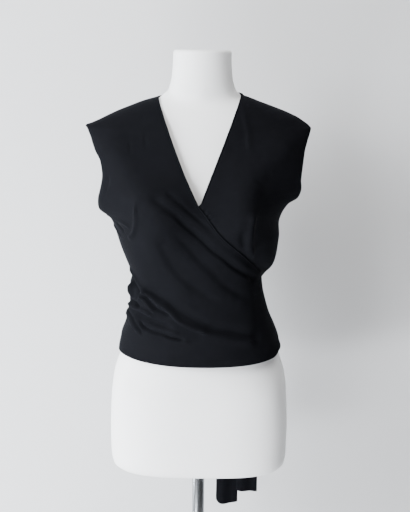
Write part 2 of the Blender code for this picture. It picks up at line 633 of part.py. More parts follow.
def turned(name, profile, finish, sides=48):
    """A solid of revolution about Z from (radius, height) corners, bottom to top."""
    angle = np.linspace(0.0, 2.0 * np.pi, sides, endpoint=False)
    rings = [
        np.stack([radius * np.cos(angle), radius * np.sin(angle), np.full(sides, height)], axis=-1)
        for radius, height in profile
    ]
    points = np.concatenate(rings)
    faces = grid_faces(len(profile), sides, closed=True)
    faces.append(tuple(range(sides))[::-1])
    faces.append(tuple(range(len(points) - sides, len(points))))
    return add_object(name, points, faces, finish)


def make_stand(metal):
    """Base, collar, pole and the flange that the form sits on, bottom to top."""
    base_top = BASE_THICKNESS
    collar_top = base_top + COLLAR_HEIGHT
    flange_bottom = FORM_BOTTOM - TOUCH_GAP - FLANGE_THICKNESS
    soft = 0.3 * BASE_THICKNESS
    turned("stand_base", [
        (BASE_RADIUS - soft, 0.0),
        (BASE_RADIUS, soft),
        (BASE_RADIUS, base_top - soft),
        (BASE_RADIUS - soft, base_top),
    ], metal)
    turned("stand_collar", [
        (COLLAR_RADIUS, base_top + TOUCH_GAP),
        (COLLAR_RADIUS, collar_top - 0.006),
        (COLLAR_RADIUS - 0.004, collar_top),
    ], metal, sides=32)
    turned("stand_pole", [
        (POLE_RADIUS, collar_top + TOUCH_GAP),
        (POLE_RADIUS, flange_bottom - TOUCH_GAP),
    ], metal, sides=32)
    turned("form_flange", [
        (FLANGE_RADIUS, flange_bottom),
        (FLANGE_RADIUS, flange_bottom + FLANGE_THICKNESS),
    ], metal, sides=32)


def main():
    for old in list(bpy.data.objects):
        bpy.data.objects.remove(old, do_unlink=True)

    black = material("black_crepe", (0.010, 0.010, 0.013), 0.62)
    white = material("white_form", (0.82, 0.82, 0.82), 0.55)
    metal = material("bright_metal", (0.62, 0.63, 0.64), 0.22, metallic=1.0)

    make_stand(metal)
    make_form(white)
    make_back(black)
    make_left_front(black)
    make_right_front(black)
    make_tie("left_tie", LEFT_TIE, lambda turn: LAYER_STEP * ramp(turn, 166.0, 177.0), 30, True, black)
    make_tie("right_tie", RIGHT_TIE, lambda turn: LAYER_STEP, 7, False, black)
    make_knot(black)
    for tail in TAILS:
        make_tail(tail, black)


main()
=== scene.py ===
"""Wrap top on a dress form: the finished look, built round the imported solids.

Metres, +Z up, the wearer's front towards -Y and the wearer's right side towards -X. Sections
follow the object as it is put together: stand, form, back, left front, right front, ties.
"""

import math
from collections import namedtuple

import bpy
import numpy as np
from mathutils import Matrix, Vector


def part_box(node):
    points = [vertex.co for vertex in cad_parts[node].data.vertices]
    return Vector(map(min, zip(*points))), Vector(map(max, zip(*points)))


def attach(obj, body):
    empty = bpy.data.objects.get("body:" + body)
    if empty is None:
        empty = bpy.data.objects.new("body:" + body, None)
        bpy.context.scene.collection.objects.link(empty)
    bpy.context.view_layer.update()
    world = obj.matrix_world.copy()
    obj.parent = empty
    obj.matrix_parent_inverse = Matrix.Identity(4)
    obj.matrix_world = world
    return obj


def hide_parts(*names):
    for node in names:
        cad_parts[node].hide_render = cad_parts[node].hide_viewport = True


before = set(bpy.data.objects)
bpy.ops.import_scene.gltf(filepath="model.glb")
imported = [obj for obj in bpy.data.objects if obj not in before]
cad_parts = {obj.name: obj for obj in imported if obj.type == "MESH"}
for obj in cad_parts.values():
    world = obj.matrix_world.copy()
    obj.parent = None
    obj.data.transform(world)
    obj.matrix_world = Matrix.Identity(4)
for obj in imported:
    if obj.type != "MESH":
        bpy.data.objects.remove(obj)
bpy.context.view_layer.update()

# ======== camera
# A standing photographer's camera, a little above the shoulders and tilted down, turned a
# fraction about its own axis.

CAMERA_DISTANCE = 1.90
CAMERA_HEIGHT = 1.470
CAMERA_TILT = math.radians(12.4)
CAMERA_ROLL = math.atan(4.3 / 445)
FOCAL_PIXELS = 962
FRAME_HEIGHT = 512
SENSOR = 36.0
AXIS_OFF_CENTRE = 4.5 / FRAME_HEIGHT

camera_data = bpy.data.cameras.new("camera")
camera_data.sensor_width = SENSOR
camera_data.lens = SENSOR * FOCAL_PIXELS / FRAME_HEIGHT
camera_data.shift_x = AXIS_OFF_CENTRE
camera = bpy.data.objects.new("camera", camera_data)
camera.matrix_world = (
    Matrix.Translation((0.0, -CAMERA_DISTANCE, CAMERA_HEIGHT))
    @ Matrix.Rotation(math.pi / 2 - CAMERA_TILT, 4, "X")
    @ Matrix.Rotation(CAMERA_ROLL, 4, "Z")
)
bpy.context.scene.collection.objects.link(camera)
bpy.context.scene.camera = camera

# ======== room and light
# A pale floor and a pale painted wall. Soft daylight comes from the wearer's right, and the far
# side of the room is dim. The wall is a stage flat: it has a front and nothing behind it.

WALL_Y = 0.42
ROOM_HALF_WIDTH = 12.0
WALL_HALF_WIDTH = 4.0
WALL_HEIGHT = 4.5
COVE_RADIUS = 0.12
FLOOR_LEVEL = -0.0002  # a hair below the stand and the foot of the wall
WALL_COLOUR = (0.70, 0.70, 0.705, 1.0)


def set_inputs(made, sockets=(), **inputs):
    """Give a node's inputs, by number or by name, a value or the output of another node."""
    for key, value in [*enumerate(sockets), *inputs.items()]:
        socket = made.inputs[key.replace("_", " ") if isinstance(key, str) else key]
        if isinstance(value, bpy.types.NodeSocket):
            made.id_data.links.new(value, socket)
        else:
            socket.default_value = value


def wired(tree, kind, output, *sockets, **inputs):
    """The named output of a new shader node whose inputs are set."""
    made = tree.nodes.new("ShaderNode" + kind)
    set_inputs(made, sockets, **inputs)
    return made.outputs[output]


def finish_of(name, **inputs):
    """A material, its node tree and its shader with these inputs."""
    made = bpy.data.materials.new(name)
    made.use_nodes = True
    shader = made.node_tree.nodes["Principled BSDF"]
    set_inputs(shader, **inputs)
    return made, made.node_tree, shader


def places(*values):
    """Points from their coordinates, which are spread to one another's size."""
    return np.stack(np.broadcast_arrays(*values), axis=-1)


def grid_mesh(name, points, material, ring=False, ends=False, turned_over=False):
    """A smooth mesh from a grid of points; ring joins each row's ends, ends caps first and last."""
    rows, columns = points.shape[:2]
    row = np.arange(rows - 1)[:, None] * columns
    column = np.arange(columns if ring else columns - 1)[None, :]
    after = (column + 1) % columns
    corners = [row + column, row + after, row + columns + after, row + columns + column]
    faces = np.stack(corners, axis=-1).reshape(-1, 4)
    faces = (faces[:, ::-1] if turned_over else faces).tolist()
    if ends:
        faces.append(list(range(columns))[::-1])
        faces.append(list(range((rows - 1) * columns, rows * columns)))
    mesh = bpy.data.meshes.new(name)
    mesh.from_pydata(points.reshape(-1, 3), [], faces)
    mesh.shade_smooth()
    mesh.materials.append(material)
    made = bpy.data.objects.new(name, mesh)
    bpy.context.scene.collection.objects.link(made)
    return made


def wall_points():
    """The wall's foot leaves the floor in a quarter circle, and the wall goes straight up from it."""
    turn = np.linspace(0.0, 0.5 * np.pi, 17)
    y = np.append(WALL_Y - COVE_RADIUS + COVE_RADIUS * np.sin(turn), WALL_Y)
    z = np.append(COVE_RADIUS - COVE_RADIUS * np.cos(turn), WALL_HEIGHT)
    return places(np.linspace(-WALL_HALF_WIDTH, WALL_HALF_WIDTH, 3), y[:, None], z[:, None])


def floor_points():
    """A level square."""
    edge = np.linspace(-ROOM_HALF_WIDTH, ROOM_HALF_WIDTH, 3)
    return places(edge, edge[:, None], FLOOR_LEVEL)


def matt_paint(name, front_only):
    """Matt white paint; front_only leaves nothing of the piece where it is seen from behind."""
    made, tree, shader = finish_of(
        name, Base_Color=WALL_COLOUR, Roughness=0.9, Specular_IOR_Level=0.1
    )
    if front_only:
        behind = wired(tree, "NewGeometry", "Backfacing")
        nothing = wired(tree, "BsdfTransparent", "BSDF")
        either = wired(tree, "MixShader", "Shader", behind, shader.outputs["BSDF"], nothing)
        set_inputs(tree.nodes["Material Output"], Surface=either)
    return made


room_wall = grid_mesh("room_wall", wall_points(), matt_paint("wall_paint", front_only=True))
room_floor = grid_mesh("room_floor", floor_points(), matt_paint("floor_paint", front_only=False))

Lamp = namedtuple("Lamp", "name place aim width height power colour")
DAYLIGHT = (0.92, 0.96, 1.0)
LAMPS = [
    Lamp("window", (-1.63, -1.63, 2.10), (0.0, 0.0, 0.95), 1.0, 1.0, 107.0, DAYLIGHT),
    Lamp("side_window", (-2.29, 0.20, 1.30), (0.0, 0.0, 0.95), 1.2, 1.2, 113.0, DAYLIGHT),
    Lamp("floor_bounce", (-0.90, -1.20, 0.12), (0.0, 0.42, 0.30), 0.9, 0.3, 58.0, (0.93, 0.96, 1.0)),
    Lamp("ceiling_bounce", (0.0, -0.90, 2.60), (0.0, 0.0, 1.10), 1.4, 1.0, 28.0, (1.0, 0.99, 0.98)),
]
for lamp in LAMPS:
    light = bpy.data.lights.new(lamp.name, "AREA")
    light.shape = "RECTANGLE"
    light.size = lamp.width
    light.size_y = lamp.height
    light.energy = lamp.power
    light.color = lamp.colour
    lamp_object = bpy.data.objects.new(lamp.name, light)
    lamp_object.location = lamp.place
    towards = Vector(lamp.aim) - Vector(lamp.place)
    lamp_object.rotation_euler = towards.to_track_quat("-Z", "Y").to_euler()
    bpy.context.scene.collection.objects.link(lamp_object)

# Away from the wall the room is pale on the window's side and dim on the other.
sky = bpy.data.worlds.new("room_light")
sky.use_nodes = True
direction = wired(sky.node_tree, "TexCoord", "Generated")
sideways = wired(sky.node_tree, "SeparateXYZ", "X", direction)
brightness = wired(
    sky.node_tree, "MapRange", "Result", sideways, From_Min=-1.0, From_Max=1.0, To_Min=0.30, To_Max=0.02
)
set_inputs(sky.node_tree.nodes["Background"], Color=(1.0, 0.98, 0.97, 1.0), Strength=brightness)
bpy.context.scene.world = sky

# ======== stand
# A round steel plate with a short collar welded on it, a bright tube and the flange that is
# screwed under the form. Everything is turned or drawn, so each piece is a profile carried
# round the pole's axis.

Turned = namedtuple("Turned", "node radius rounding corners")
STAND = [
    Turned("stand_base", 0.170, 0.003, 5),
    Turned("stand_collar", 0.022, 0.003, 5),
    Turned("stand_pole", 0.0125, 0.0004, 2),
    Turned("form_flange", 0.045, 0.001, 3),
]
METAL_LIGHT = (0.49, 0.51, 0.53, 1.0)
METAL_DARK = (0.40, 0.42, 0.44, 1.0)
# painted shade: this edge tint darkens the metal's reflection at grazing angles, where the tube's sides
# turn away
METAL_EDGE_SHADE = (0.10, 0.10, 0.10, 1.0)


def turned(name, profile, material, sides=128):
    """A profile of (radius, height) corners carried once round Z; each corner is a sharp ring."""
    angle = np.linspace(0.0, 2.0 * np.pi, sides, endpoint=False)[None, :]
    radius, height = np.array(profile).T[..., None]
    points = places(radius * np.cos(angle), radius * np.sin(angle), height)
    return grid_mesh(name, points, material, ring=True, ends=True)


def rounded(radius, low, high, edge, steps):
    """Profile of a disc or tube whose lower and upper edges are quarter circles of that size."""
    turn = np.linspace(0.0, 0.5 * np.pi, steps)
    lower = [(radius - edge + edge * math.sin(a), low + edge - edge * math.cos(a)) for a in turn]
    upper = [(radius - edge + edge * math.cos(a), high - edge + edge * math.sin(a)) for a in turn]
    return lower + upper


def blend_of(tree, share, low, high):
    """A colour that goes from low to high with the share; both are (share, colour)."""
    made = tree.nodes.new("ShaderNodeValToRGB")
    for element, (place, colour) in zip(made.color_ramp.elements, (low, high)):
        element.position = place
        element.color = colour
    set_inputs(made, Fac=share)
    return made.outputs["Color"]


def bright_metal():
    """Plated steel: a satin finish, drawn lengthwise, with faint cloudy wear in its gloss, and painted
    shade in its reflection: a dark edge tint where the tube turns away.
    """
    made, tree, shader = finish_of("bright_metal", Metallic=1.0, Specular_Tint=METAL_EDGE_SHADE)
    place = wired(tree, "TexCoord", "Object")
    drawn_out = wired(tree, "Mapping", "Vector", place, Scale=(60.0, 60.0, 3.0))
    wear = wired(tree, "TexNoise", "Fac", drawn_out, Scale=12.0, Detail=4.0)
    gloss = wired(tree, "MapRange", "Result", wear, To_Min=0.20, To_Max=0.30)
    tint = blend_of(tree, wear, (0.0, METAL_DARK), (1.0, METAL_LIGHT))
    set_inputs(shader, Base_Color=tint, Roughness=gloss)
    return made


metal = bright_metal()
for part in STAND:
    low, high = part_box(part.node)
    profile = rounded(part.radius, low.z, high.z, part.rounding, part.corners)
    piece = turned(part.node + "_look", profile, metal)
    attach(piece, "root")
    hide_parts(part.node)

# ======== dress form
# A moulded shell, neck to hip, sprayed satin white. It carries the cloth at the shoulders, and
# stands clear of it elsewhere.

# Level sections in millimetres, from the lowest up. Left and right are half widths, seen from the
# front; side, front and back are y of the side line and of both centres; power is 2 for an ellipse.
Cut = namedtuple("Cut", "z left right side front back power")


def in_metres(kind, rows, lengths):
    """Rows of millimetres as named rows of metres; only so many values of a row are lengths."""
    return [kind(*(value / 1000.0 for value in row[:lengths]), *row[lengths:]) for row in rows]


FORM = in_metres(Cut, [
    (610, 157, 159, 2, -86, 88, 2.2), (612, 169, 171, 2, -95, 97, 2.2),
    (619, 178, 179, 2, -100, 102, 2.2), (632, 181.5, 182, 2, -102.5, 104, 2.2),
    (655, 183, 183, 2, -103.5, 105.5, 2.2), (690, 183.5, 183.5, 2, -102, 109, 2.2),
    (742, 182, 182, 2, -105, 116, 2.2), (805, 176.5, 176.5, 1, -107, 121, 2.2),
    (865, 157, 157, 0, -106, 115, 2.2), (900, 142, 142, 0, -101, 105, 2.15),
    (935, 129, 129, 0, -95, 95, 2.1), (975, 118, 118, 0, -90, 86, 2.1),
    (1010, 113, 113, 0, -87, 81, 2.1), (1060, 125, 125, 2, -90, 88, 2.1),
    (1100, 137, 137, 4, -95, 99, 2.1), (1140, 147, 147, 7, -97, 109, 2.1),
    (1175, 158, 158, 10, -95, 115, 2.1), (1210, 176, 176, 12, -89, 117, 2.05),
    (1250, 185, 185, 14, -79, 113, 2), (1290, 184, 184, 14, -66, 101, 2),
    (1314, 178, 178, 14, -57, 92, 2), (1328, 172, 172, 14, -53, 87, 2),
    (1340, 156, 156, 14, -48, 82, 2), (1352, 127, 127, 14, -42, 76, 2),
    (1362, 93, 90, 13, -40, 69, 1.9), (1372, 78.5, 76.2, 11, -42, 64, 1.7),
    (1377, 72.5, 73.5, 10, -44, 62, 1.7), (1382, 67, 67.5, 8, -47, 60, 1.8),
    (1392, 63.2, 63.2, 5, -51, 57, 1.9), (1410, 59, 59, 1, -55, 53, 2),
    (1440, 56.5, 56.5, -3, -59, 49, 2), (1456, 56, 56, -5, -61, 47, 2),
    (1460, 53, 53, -5, -58, 44, 2),
], 6)
BUST_X = 0.083  # fullest places of the bust, to either side, and their height
BUST_Z = 1.148
FORM_BUST = (0.036, 0.046, 0.055)  # rise, spread across, spread up and down
FORM_SIDES = 144
FLAT_POWER = 3.0  # below the hem the front is flat and turns late
FLAT_FADE = (0.850, 0.775)  # heights between which this goes over to the waist
FORM_RING_STEP = 0.004
FRONT_ONLY = (0.0, 0.5)  # sine of the turn over which the bust fades in from the sides
PAINT_DULL = (0.885, 0.885, 0.885, 1.0)
PAINT_CLEAN = (0.915, 0.912, 0.910, 1.0)


def ramp(value, none, full):
    """0 up to one end, 1 from the other on and a smooth S between; it falls if none is above full."""
    share = np.clip((np.asarray(value, dtype=float) - none) / (full - none), 0.0, 1.0)
    return share * share * (3.0 - 2.0 * share)


def smooth_rows(rows, at):
    """Each later column of a table at values of its first column, by monotone cubic steps."""
    table = np.array(rows, dtype=float)
    place = table[:, 0]
    at = np.clip(np.asarray(at, dtype=float), place[0], place[-1])
    step = np.diff(place)
    index = np.clip(np.searchsorted(place, at, side="right") - 1, 0, len(step) - 1)
    share = (at - place[index]) / step[index]
    columns = []
    for values in table[:, 1:].T:
        slope = np.diff(values) / step
        middle = np.zeros(len(values))
        flat = slope[:-1] * slope[1:] <= 0.0
        total = np.where(flat, 1.0, slope[:-1] + slope[1:])
        middle[1:-1] = np.where(flat, 0.0, 2.0 * slope[:-1] * slope[1:] / total)
        middle[0], middle[-1] = slope[0], slope[-1]
        rise, fall = middle[index] * step[index], middle[index + 1] * step[index]
        climb = values[index + 1] - values[index]
        bend = 3 * climb - 2 * rise - fall + (rise + fall - 2 * climb) * share
        columns.append(values[index] + (rise + bend * share) * share)
    return columns


def bust(turn, x, z, rise, across, upright):
    """How far the bust stands forward: two bells, one each side of the centre."""
    sides = sum(np.exp(-((x - side * BUST_X) / across) ** 2) for side in (-1.0, 1.0))
    in_front = ramp(np.sin(np.radians(turn)), *FRONT_ONLY)
    return rise * sides * np.exp(-((z - BUST_Z) / upright) ** 2) * in_front


def round_section(cut, turn):
    """x and y on a level superellipse, and how far (0 to 1) the turn is from the side line."""
    left, right, side, front, back, power = cut
    across, forward = np.cos(np.radians(turn)), np.sin(np.radians(turn))
    x = -np.sign(across) * np.where(across > 0, left, right) * np.abs(across) ** (2.0 / power)
    depth = np.abs(forward) ** (2.0 / power)
    return x, side + (np.where(forward >= 0, front, back) - side) * depth, depth


def form_points():
    """Sections of FORM at every few millimetres of height, with the bust added to the front.

    The front of the hips follows a superellipse of a higher power over the same x.
    """
    corners = [cut.z for cut in FORM[:4] + FORM[-2:]]
    between = np.arange(FORM[3].z + FORM_RING_STEP, FORM[-2].z, FORM_RING_STEP)
    z = np.sort(np.concatenate([corners, between]))[:, None]
    turn = np.linspace(0.0, 360.0, FORM_SIDES, endpoint=False)[None, :]
    turn, z = np.broadcast_arrays(turn, z)
    cut = smooth_rows(FORM, z)
    x, y, _ = round_section(cut, turn)
    left, right, side, front = cut[:4]
    share = np.clip(np.abs(x) / np.where(x < 0, left, right), 0.0, 1.0)
    flat_y = side + (front - side) * (1.0 - share ** FLAT_POWER) ** (1.0 / FLAT_POWER)
    flat = ramp(np.sin(np.radians(turn)), 0.0, 0.1) * ramp(z, *FLAT_FADE)
    y = y + (flat_y - y) * flat
    return places(x, y - bust(turn, x, z, *FORM_BUST), z)


def form_paint():
    """Sprayed satin white: a fine orange-peel surface and slow, faint changes of tone."""
    made, tree, shader = finish_of("form_paint", Specular_IOR_Level=0.35)
    place = wired(tree, "TexCoord", "Object")
    cloudy = wired(tree, "TexNoise", "Fac", place, Scale=9.0, Detail=3.0)
    tone = blend_of(tree, cloudy, (0.3, PAINT_DULL), (0.7, PAINT_CLEAN))
    gloss = wired(tree, "MapRange", "Result", cloudy, To_Min=0.46, To_Max=0.58)
    peel = wired(tree, "TexNoise", "Fac", place, Scale=420.0, Detail=2.0)
    relief = wired(tree, "Bump", "Normal", Height=peel, Strength=0.06, Distance=0.0004)
    set_inputs(shader, Base_Color=tone, Roughness=gloss, Normal=relief)
    return made


form = grid_mesh("dress_form_look", form_points(), form_paint(), ring=True, ends=True)
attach(form, "root")
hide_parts("dress_form")

# ======== the cloth's own surface
# Every cloth piece hangs on one plain surface round the body. A place on it has a turn in degrees
# (0 at the wearer's right side, 90 front centre, 180 left side, 270 back centre) and a height.

CLOTH = 0.0011  # wall of one layer
LAYER_STEP = 0.0022  # from one layer's inner face to the next one's
SEAM_GAP = 0.0001  # between two pieces that are sewn together
HEM_HEIGHT = 0.8635  # hem at the side seams
HEM_DIP = 0.0074  # how far it hangs lower at the front and back centre
HEM_SKEW = 0.0018  # and how far it hangs lower between the front centre and the left side
CROSSING = 1.167  # foot of the V, where the fronts cross
RIGHT_UNDERARM = 1.149
LEFT_UNDERARM = 1.176
SHOULDER_TIP = 1.313
SHOULDER_LINE = 0.014  # y of both shoulder seams
ARMHOLE_FRONT = 0.046  # how far the armhole's edge lies before and behind the side line
ARMHOLE_BACK = 0.056
ARMHOLE_SWELL = 0.7  # below 1 the armhole is fuller than a half sine
ARMHOLE_EASE = 0.045
ARMHOLE_EDGE = 6  # a higher power keeps the exact outline nearer to the edge
RIGHT_NECK_POINT = 0.0850  # inner end of each shoulder seam, from the centre line
LEFT_NECK_POINT = 0.0775
BACK_NECK_HEIGHT = 1.388
GARMENT_BUST = (0.034, 0.056, 0.066)

GARMENT = in_metres(Cut, [
    (850, 165, 166, 0, -119, 127, 2.1), (864, 164.5, 166, 0, -118, 126, 2.1),
    (888, 160, 157.5, 0, -115, 121, 2.1), (914, 150, 147, 0, -111, 114, 2.1),
    (940, 141.5, 135.5, 0, -106, 106, 2.1), (965, 137.5, 128, 0, -101, 99, 2.1),
    (990, 137.5, 122, 0, -97, 94, 2.1), (1014, 135.5, 119.5, 1, -96, 91, 2.1),
    (1030, 140.5, 124, 2, -98, 91, 2.1), (1052, 149.5, 132, 3, -101, 95, 2.1),
    (1077, 159, 141, 4, -105, 101, 2.1), (1102, 167, 149, 6, -109, 108, 2.1),
    (1126, 173.5, 152, 8, -111, 114, 2.1), (1152, 179, 162, 10, -110, 119, 2.1),
    (1176, 184, 174, 10, -107, 122, 2.05), (1200, 188, 186, 11, -102, 123, 2),
    (1224, 191.5, 193, 12, -96, 123, 2), (1248, 195, 195.5, 13, -90, 120, 2),
    (1270, 206.5, 198.5, 14, -83, 115, 2), (1294, 214.8, 205.5, 14, -75, 107, 2),
    (1300, 215, 206.5, 14, -72, 105, 2), (1309, 214, 205, 14, -68, 101, 2),
    (1317, 206, 199, 14, -64, 97, 2), (1327, 193, 193.5, 14, -60, 93, 2),
    (1339, 170, 172.2, 14, -54, 87, 2), (1351, 140.8, 141.5, 14, -46, 80, 2),
    (1362, 111.5, 111, 14, -37, 75, 2), (1369, 87.2, 93, 14, -25, 71, 2),
    (1374, 76, 80, 14, -16, 70, 2), (1392, 70, 70, 14, 0, 63, 2),
], 6)
# The points that the cloth makes at each underarm and at each shoulder tip, along the side line.
Flare = namedtuple("Flare", "z left right")
FLARE = in_metres(Flare, [
    (1115, 0, 0), (1128, 3.5, 0), (1138, 10.5, 0),
    (1143, 20, 0), (1149, 25.5, 0.5), (1164, 22, 4.5),
    (1176, 17.5, 18), (1188, 12, 15), (1200, 7, 9.5),
    (1215, 2, 2), (1230, 0, 0), (1288, 0, 0),
    (1300, 4.5, 2.1), (1309, 10.5, 7.5), (1313, 16.5, 10.5),
    (1317, 10.5, 10), (1327, 1.7, 1.5), (1335, 0, 0),
], 3)
FLARE_SPREAD = 20.0  # degrees to either side of the side line


def armhole_reach(turn, z):
    """How far the armhole's edges lie before and behind the side line: a half sine swell."""
    on_right = np.cos(np.radians(turn)) > 0
    low = np.where(on_right, RIGHT_UNDERARM, LEFT_UNDERARM)
    share = np.clip((z - low) / (SHOULDER_TIP - low), 0.0, 1.0)
    swell = np.sin(np.pi * share) ** ARMHOLE_SWELL
    return np.where(np.sin(np.radians(turn)) >= 0, -ARMHOLE_FRONT, ARMHOLE_BACK) * swell


def garment_surface(turn, z):
    """Points of the plain surface: a section, the armholes, the bust and the flares.

    At the armhole's edge the surface follows its outline; further in, it follows the same outline
    averaged over ARMHOLE_EASE of height, so the panels stay smooth.
    """
    turn, z = np.broadcast_arrays(np.asarray(turn, dtype=float), np.asarray(z, dtype=float))
    x, y, depth = round_section(smooth_rows(GARMENT, z), turn)
    steps = np.linspace(-1.0, 1.0, 9)
    weights = 1.0 - 0.9 * steps ** 2
    eased = sum(w * armhole_reach(turn, z + ARMHOLE_EASE * step) for w, step in zip(weights, steps))
    at_edge = (1.0 - depth) ** ARMHOLE_EDGE
    y = y + armhole_reach(turn, z) * at_edge + eased / weights.sum() * (1.0 - depth - at_edge)
    y = y - bust(turn, x, z, *GARMENT_BUST)
    flare_left, flare_right = smooth_rows(FLARE, z)
    x = x - flare_left * np.exp(-((np.minimum(turn, 360.0 - turn) / FLARE_SPREAD) ** 2))
    x = x + flare_right * np.exp(-(((turn - 180.0) / FLARE_SPREAD) ** 2))
    return places(x, y, z)


def outward(turn, z):
    """Level unit directions straight out of the plain surface."""
    ahead = garment_surface(np.mod(turn + 0.5, 360.0), z)
    before = garment_surface(np.mod(turn - 0.5, 360.0), z)
    along = (ahead - before)[..., :2]
    along = along / np.linalg.norm(along, axis=-1, keepdims=True)
    return places(along[..., 1], -along[..., 0], 0.0)


def turn_at(x, z, behind=False):
    """The turn at which the plain surface has this x."""
    left, right, *_, power = smooth_rows(GARMENT, z)
    share = np.clip(np.abs(x) / np.where(x < 0, left, right), 0.0, 1.0)
    angle = np.degrees(np.arccos(share ** (power / 2.0)))
    turn = np.where(x < 0, angle, 180.0 - angle)
    return np.clip(360.0 - turn, 180.001, 359.999) if behind else turn


def seam_height(x):
    """Height of the shoulder seam at x, read back from the sections above the shoulder tips."""
    heights = np.linspace(SHOULDER_TIP, GARMENT[-1].z, 400)
    left, right = smooth_rows(GARMENT, heights)[:2]
    inwards = -np.abs(x)
    return np.where(x < 0, np.interp(inwards, -left, heights), np.interp(inwards, -right, heights))


# Black crepe jersey: soft and matt, with a pebbled face and a faint sheen where light grazes it.
# Its pattern runs on the piece's own map, whose units are metres along and across the cloth.

CREPE_DARK = (0.0048, 0.0050, 0.0061, 1.0)
CREPE_LIGHT = (0.0054, 0.0056, 0.0068, 1.0)
CREPE_SHEEN = (0.75, 0.80, 1.0, 1.0)
PEBBLE_SIZE = 0.0007


def crepe():
    """Crepe jersey: pebbles and fine ribs as relief, mottled near-black as colour."""
    made, tree, shader = finish_of("black_crepe", Specular_IOR_Level=0.003)
    set_inputs(shader, Sheen_Weight=0.0105, Sheen_Roughness=0.45, Sheen_Tint=CREPE_SHEEN)
    place = wired(tree, "TexCoord", "Object")
    weave = wired(tree, "UVMap", "UV")
    weave.node.uv_map = "cloth"
    mottle = wired(tree, "TexNoise", "Fac", place, Scale=38.0, Detail=5.0, Roughness=0.6)
    colour = blend_of(tree, mottle, (0.35, CREPE_DARK), (0.65, CREPE_LIGHT))
    gloss = wired(tree, "MapRange", "Result", mottle, To_Min=0.50, To_Max=0.62)
    pebble = wired(tree, "TexVoronoi", "Distance", weave, Scale=1.0 / PEBBLE_SIZE, Randomness=0.85)
    ribs = wired(tree, "TexWave", "Fac", weave, Scale=0.5 / PEBBLE_SIZE, Distortion=1.5)
    face = wired(tree, "Mix", "Result", Factor=0.35, A=pebble, B=ribs)
    relief = wired(tree, "Bump", "Normal", Height=face, Strength=0.35, Distance=0.00025)
    stitch = wired(tree, "Attribute", "Fac")
    stitch.node.attribute_name = "stitch"
    dashes = wired(tree, "TexWave", "Fac", place, Scale=170.0)
    dashes.node.bands_direction = "DIAGONAL"
    thread = wired(tree, "Math", "Value", stitch, dashes)
    thread.node.operation = "MULTIPLY"
    sewn = wired(tree, "Bump", "Normal", Height=thread, Normal=relief, Strength=0.6, Distance=0.0004)
    set_inputs(shader, Base_Color=colour, Roughness=gloss, Normal=sewn)
    return made


black = crepe()


def distance_along(points, axis):
    """Distance from the first point, up the columns (axis 0) or along the rows (axis 1) of a grid."""
    first = np.take(points, [0], axis=axis)
    return np.linalg.norm(np.diff(points, axis=axis, prepend=first), axis=-1).cumsum(axis=axis)


def wall(name, points, stitch=0.0, turned_over=False):
    """A cloth piece: the grid is its inner face, Solidify gives the wall, and the map holds the
    distances along the rows and up the columns."""
    made = grid_mesh(name, points, black, turned_over=turned_over)
    corner = np.empty(len(made.data.loops), dtype=np.int32)
    made.data.loops.foreach_get("vertex_index", corner)
    flat_place = places(distance_along(points, 1), distance_along(points, 0))
    layer = made.data.uv_layers.new(name="cloth")
    layer.data.foreach_set("uv", flat_place.reshape(-1, 2)[corner].ravel())
    sewn = made.data.attributes.new("stitch", "FLOAT", "POINT")
    sewn.data.foreach_set("value", np.broadcast_to(stitch, points.shape[:2]).ravel())
    thickness = made.modifiers.new("wall", "SOLIDIFY")
    thickness.thickness = CLOTH
    thickness.offset = 1.0
    thickness.use_even_offset = False
    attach(made, "root")
    return made


# A fold in the cloth is a row of millimetres and degrees: how high it stands or, below 0, sinks,
# the half widths of its left and right side, seen from outside along its line, and then the turn
# and the height of each place on that line.
FOLD_SAMPLES = 8  # along each stretch between two places
FOLD_ENDING = 0.010  # a fold fades out over this and its half width
FOLD_REACH = 3.0  # half widths beyond which nothing of a fold is left


def fold_lift(folds, plain):
    """Sum of the folds at the points of a grid on the plain surface.

    Each fold is a smooth line on that surface. Its height falls off with the distance across the
    line as half a bell on either side, and fades towards both ends.
    """
    total = np.zeros(plain.shape[:2])
    flat = plain.reshape(-1, 3)
    for height, left, right, *path in folds:
        rows = [(index, turn, z / 1000.0) for index, (turn, z) in enumerate(zip(path[::2], path[1::2]))]
        turn, z = smooth_rows(rows, np.linspace(0.0, len(rows) - 1.0, FOLD_SAMPLES * len(rows)))
        line = garment_surface(turn, z)
        travelled = distance_along(line, 0)
        run = np.gradient(line, axis=0)
        run = run / np.linalg.norm(run, axis=-1, keepdims=True)
        left_hand = np.cross(outward(turn, z), run)
        widest = max(left, right) / 1000.0
        low, high = line.min(0) - FOLD_REACH * widest, line.max(0) + FOLD_REACH * widest
        near = np.nonzero((flat >= low).all(1) & (flat <= high).all(1))[0]
        nearest = np.argmin(((flat[near, None, :] - line[None]) ** 2).sum(-1), axis=1)
        offset = flat[near] - line[nearest]
        along = (offset * run[nearest]).sum(-1)
        across = offset - along[:, None] * run[nearest]
        width = np.where((across * left_hand[nearest]).sum(-1) > 0.0, left, right) / 1000.0
        place = travelled[nearest] + along
        ending = min(FOLD_ENDING + widest, 0.45 * travelled[-1])
        fade = ramp(place, 0.0, ending) * ramp(place, travelled[-1], travelled[-1] - ending)
        bells = np.exp(-(across ** 2).sum(-1) / width ** 2)
        total.reshape(-1)[near] += height / 1000.0 * fade * bells
    return total


# Distances from both ends of a row at which a hem's relief needs a column; the rest lie between.
HEM_EDGE = (0.0, 0.0006, 0.0013, 0.0021, 0.0028, 0.0033, 0.0038, 0.0045, 0.0060)
CLOSER_AT_SIDE = 0.3  # 0 spaces the rest evenly


def shares(length, count):
    """Places along rows of the given lengths: HEM_EDGE from either end, and count between them that
    lie closer towards the row's start."""
    start = np.array(HEM_EDGE) / np.asarray(length)[:, None]
    finish = 1.0 - start[:, ::-1]
    even = np.linspace(0.0, 1.0, count + 2)[None, 1:-1]
    closer = even * (1.0 - CLOSER_AT_SIDE + CLOSER_AT_SIDE * even)
    between = start[:, -1:] + (finish[:, :1] - start[:, -1:]) * closer
    return np.concatenate([start, between, finish], axis=1)


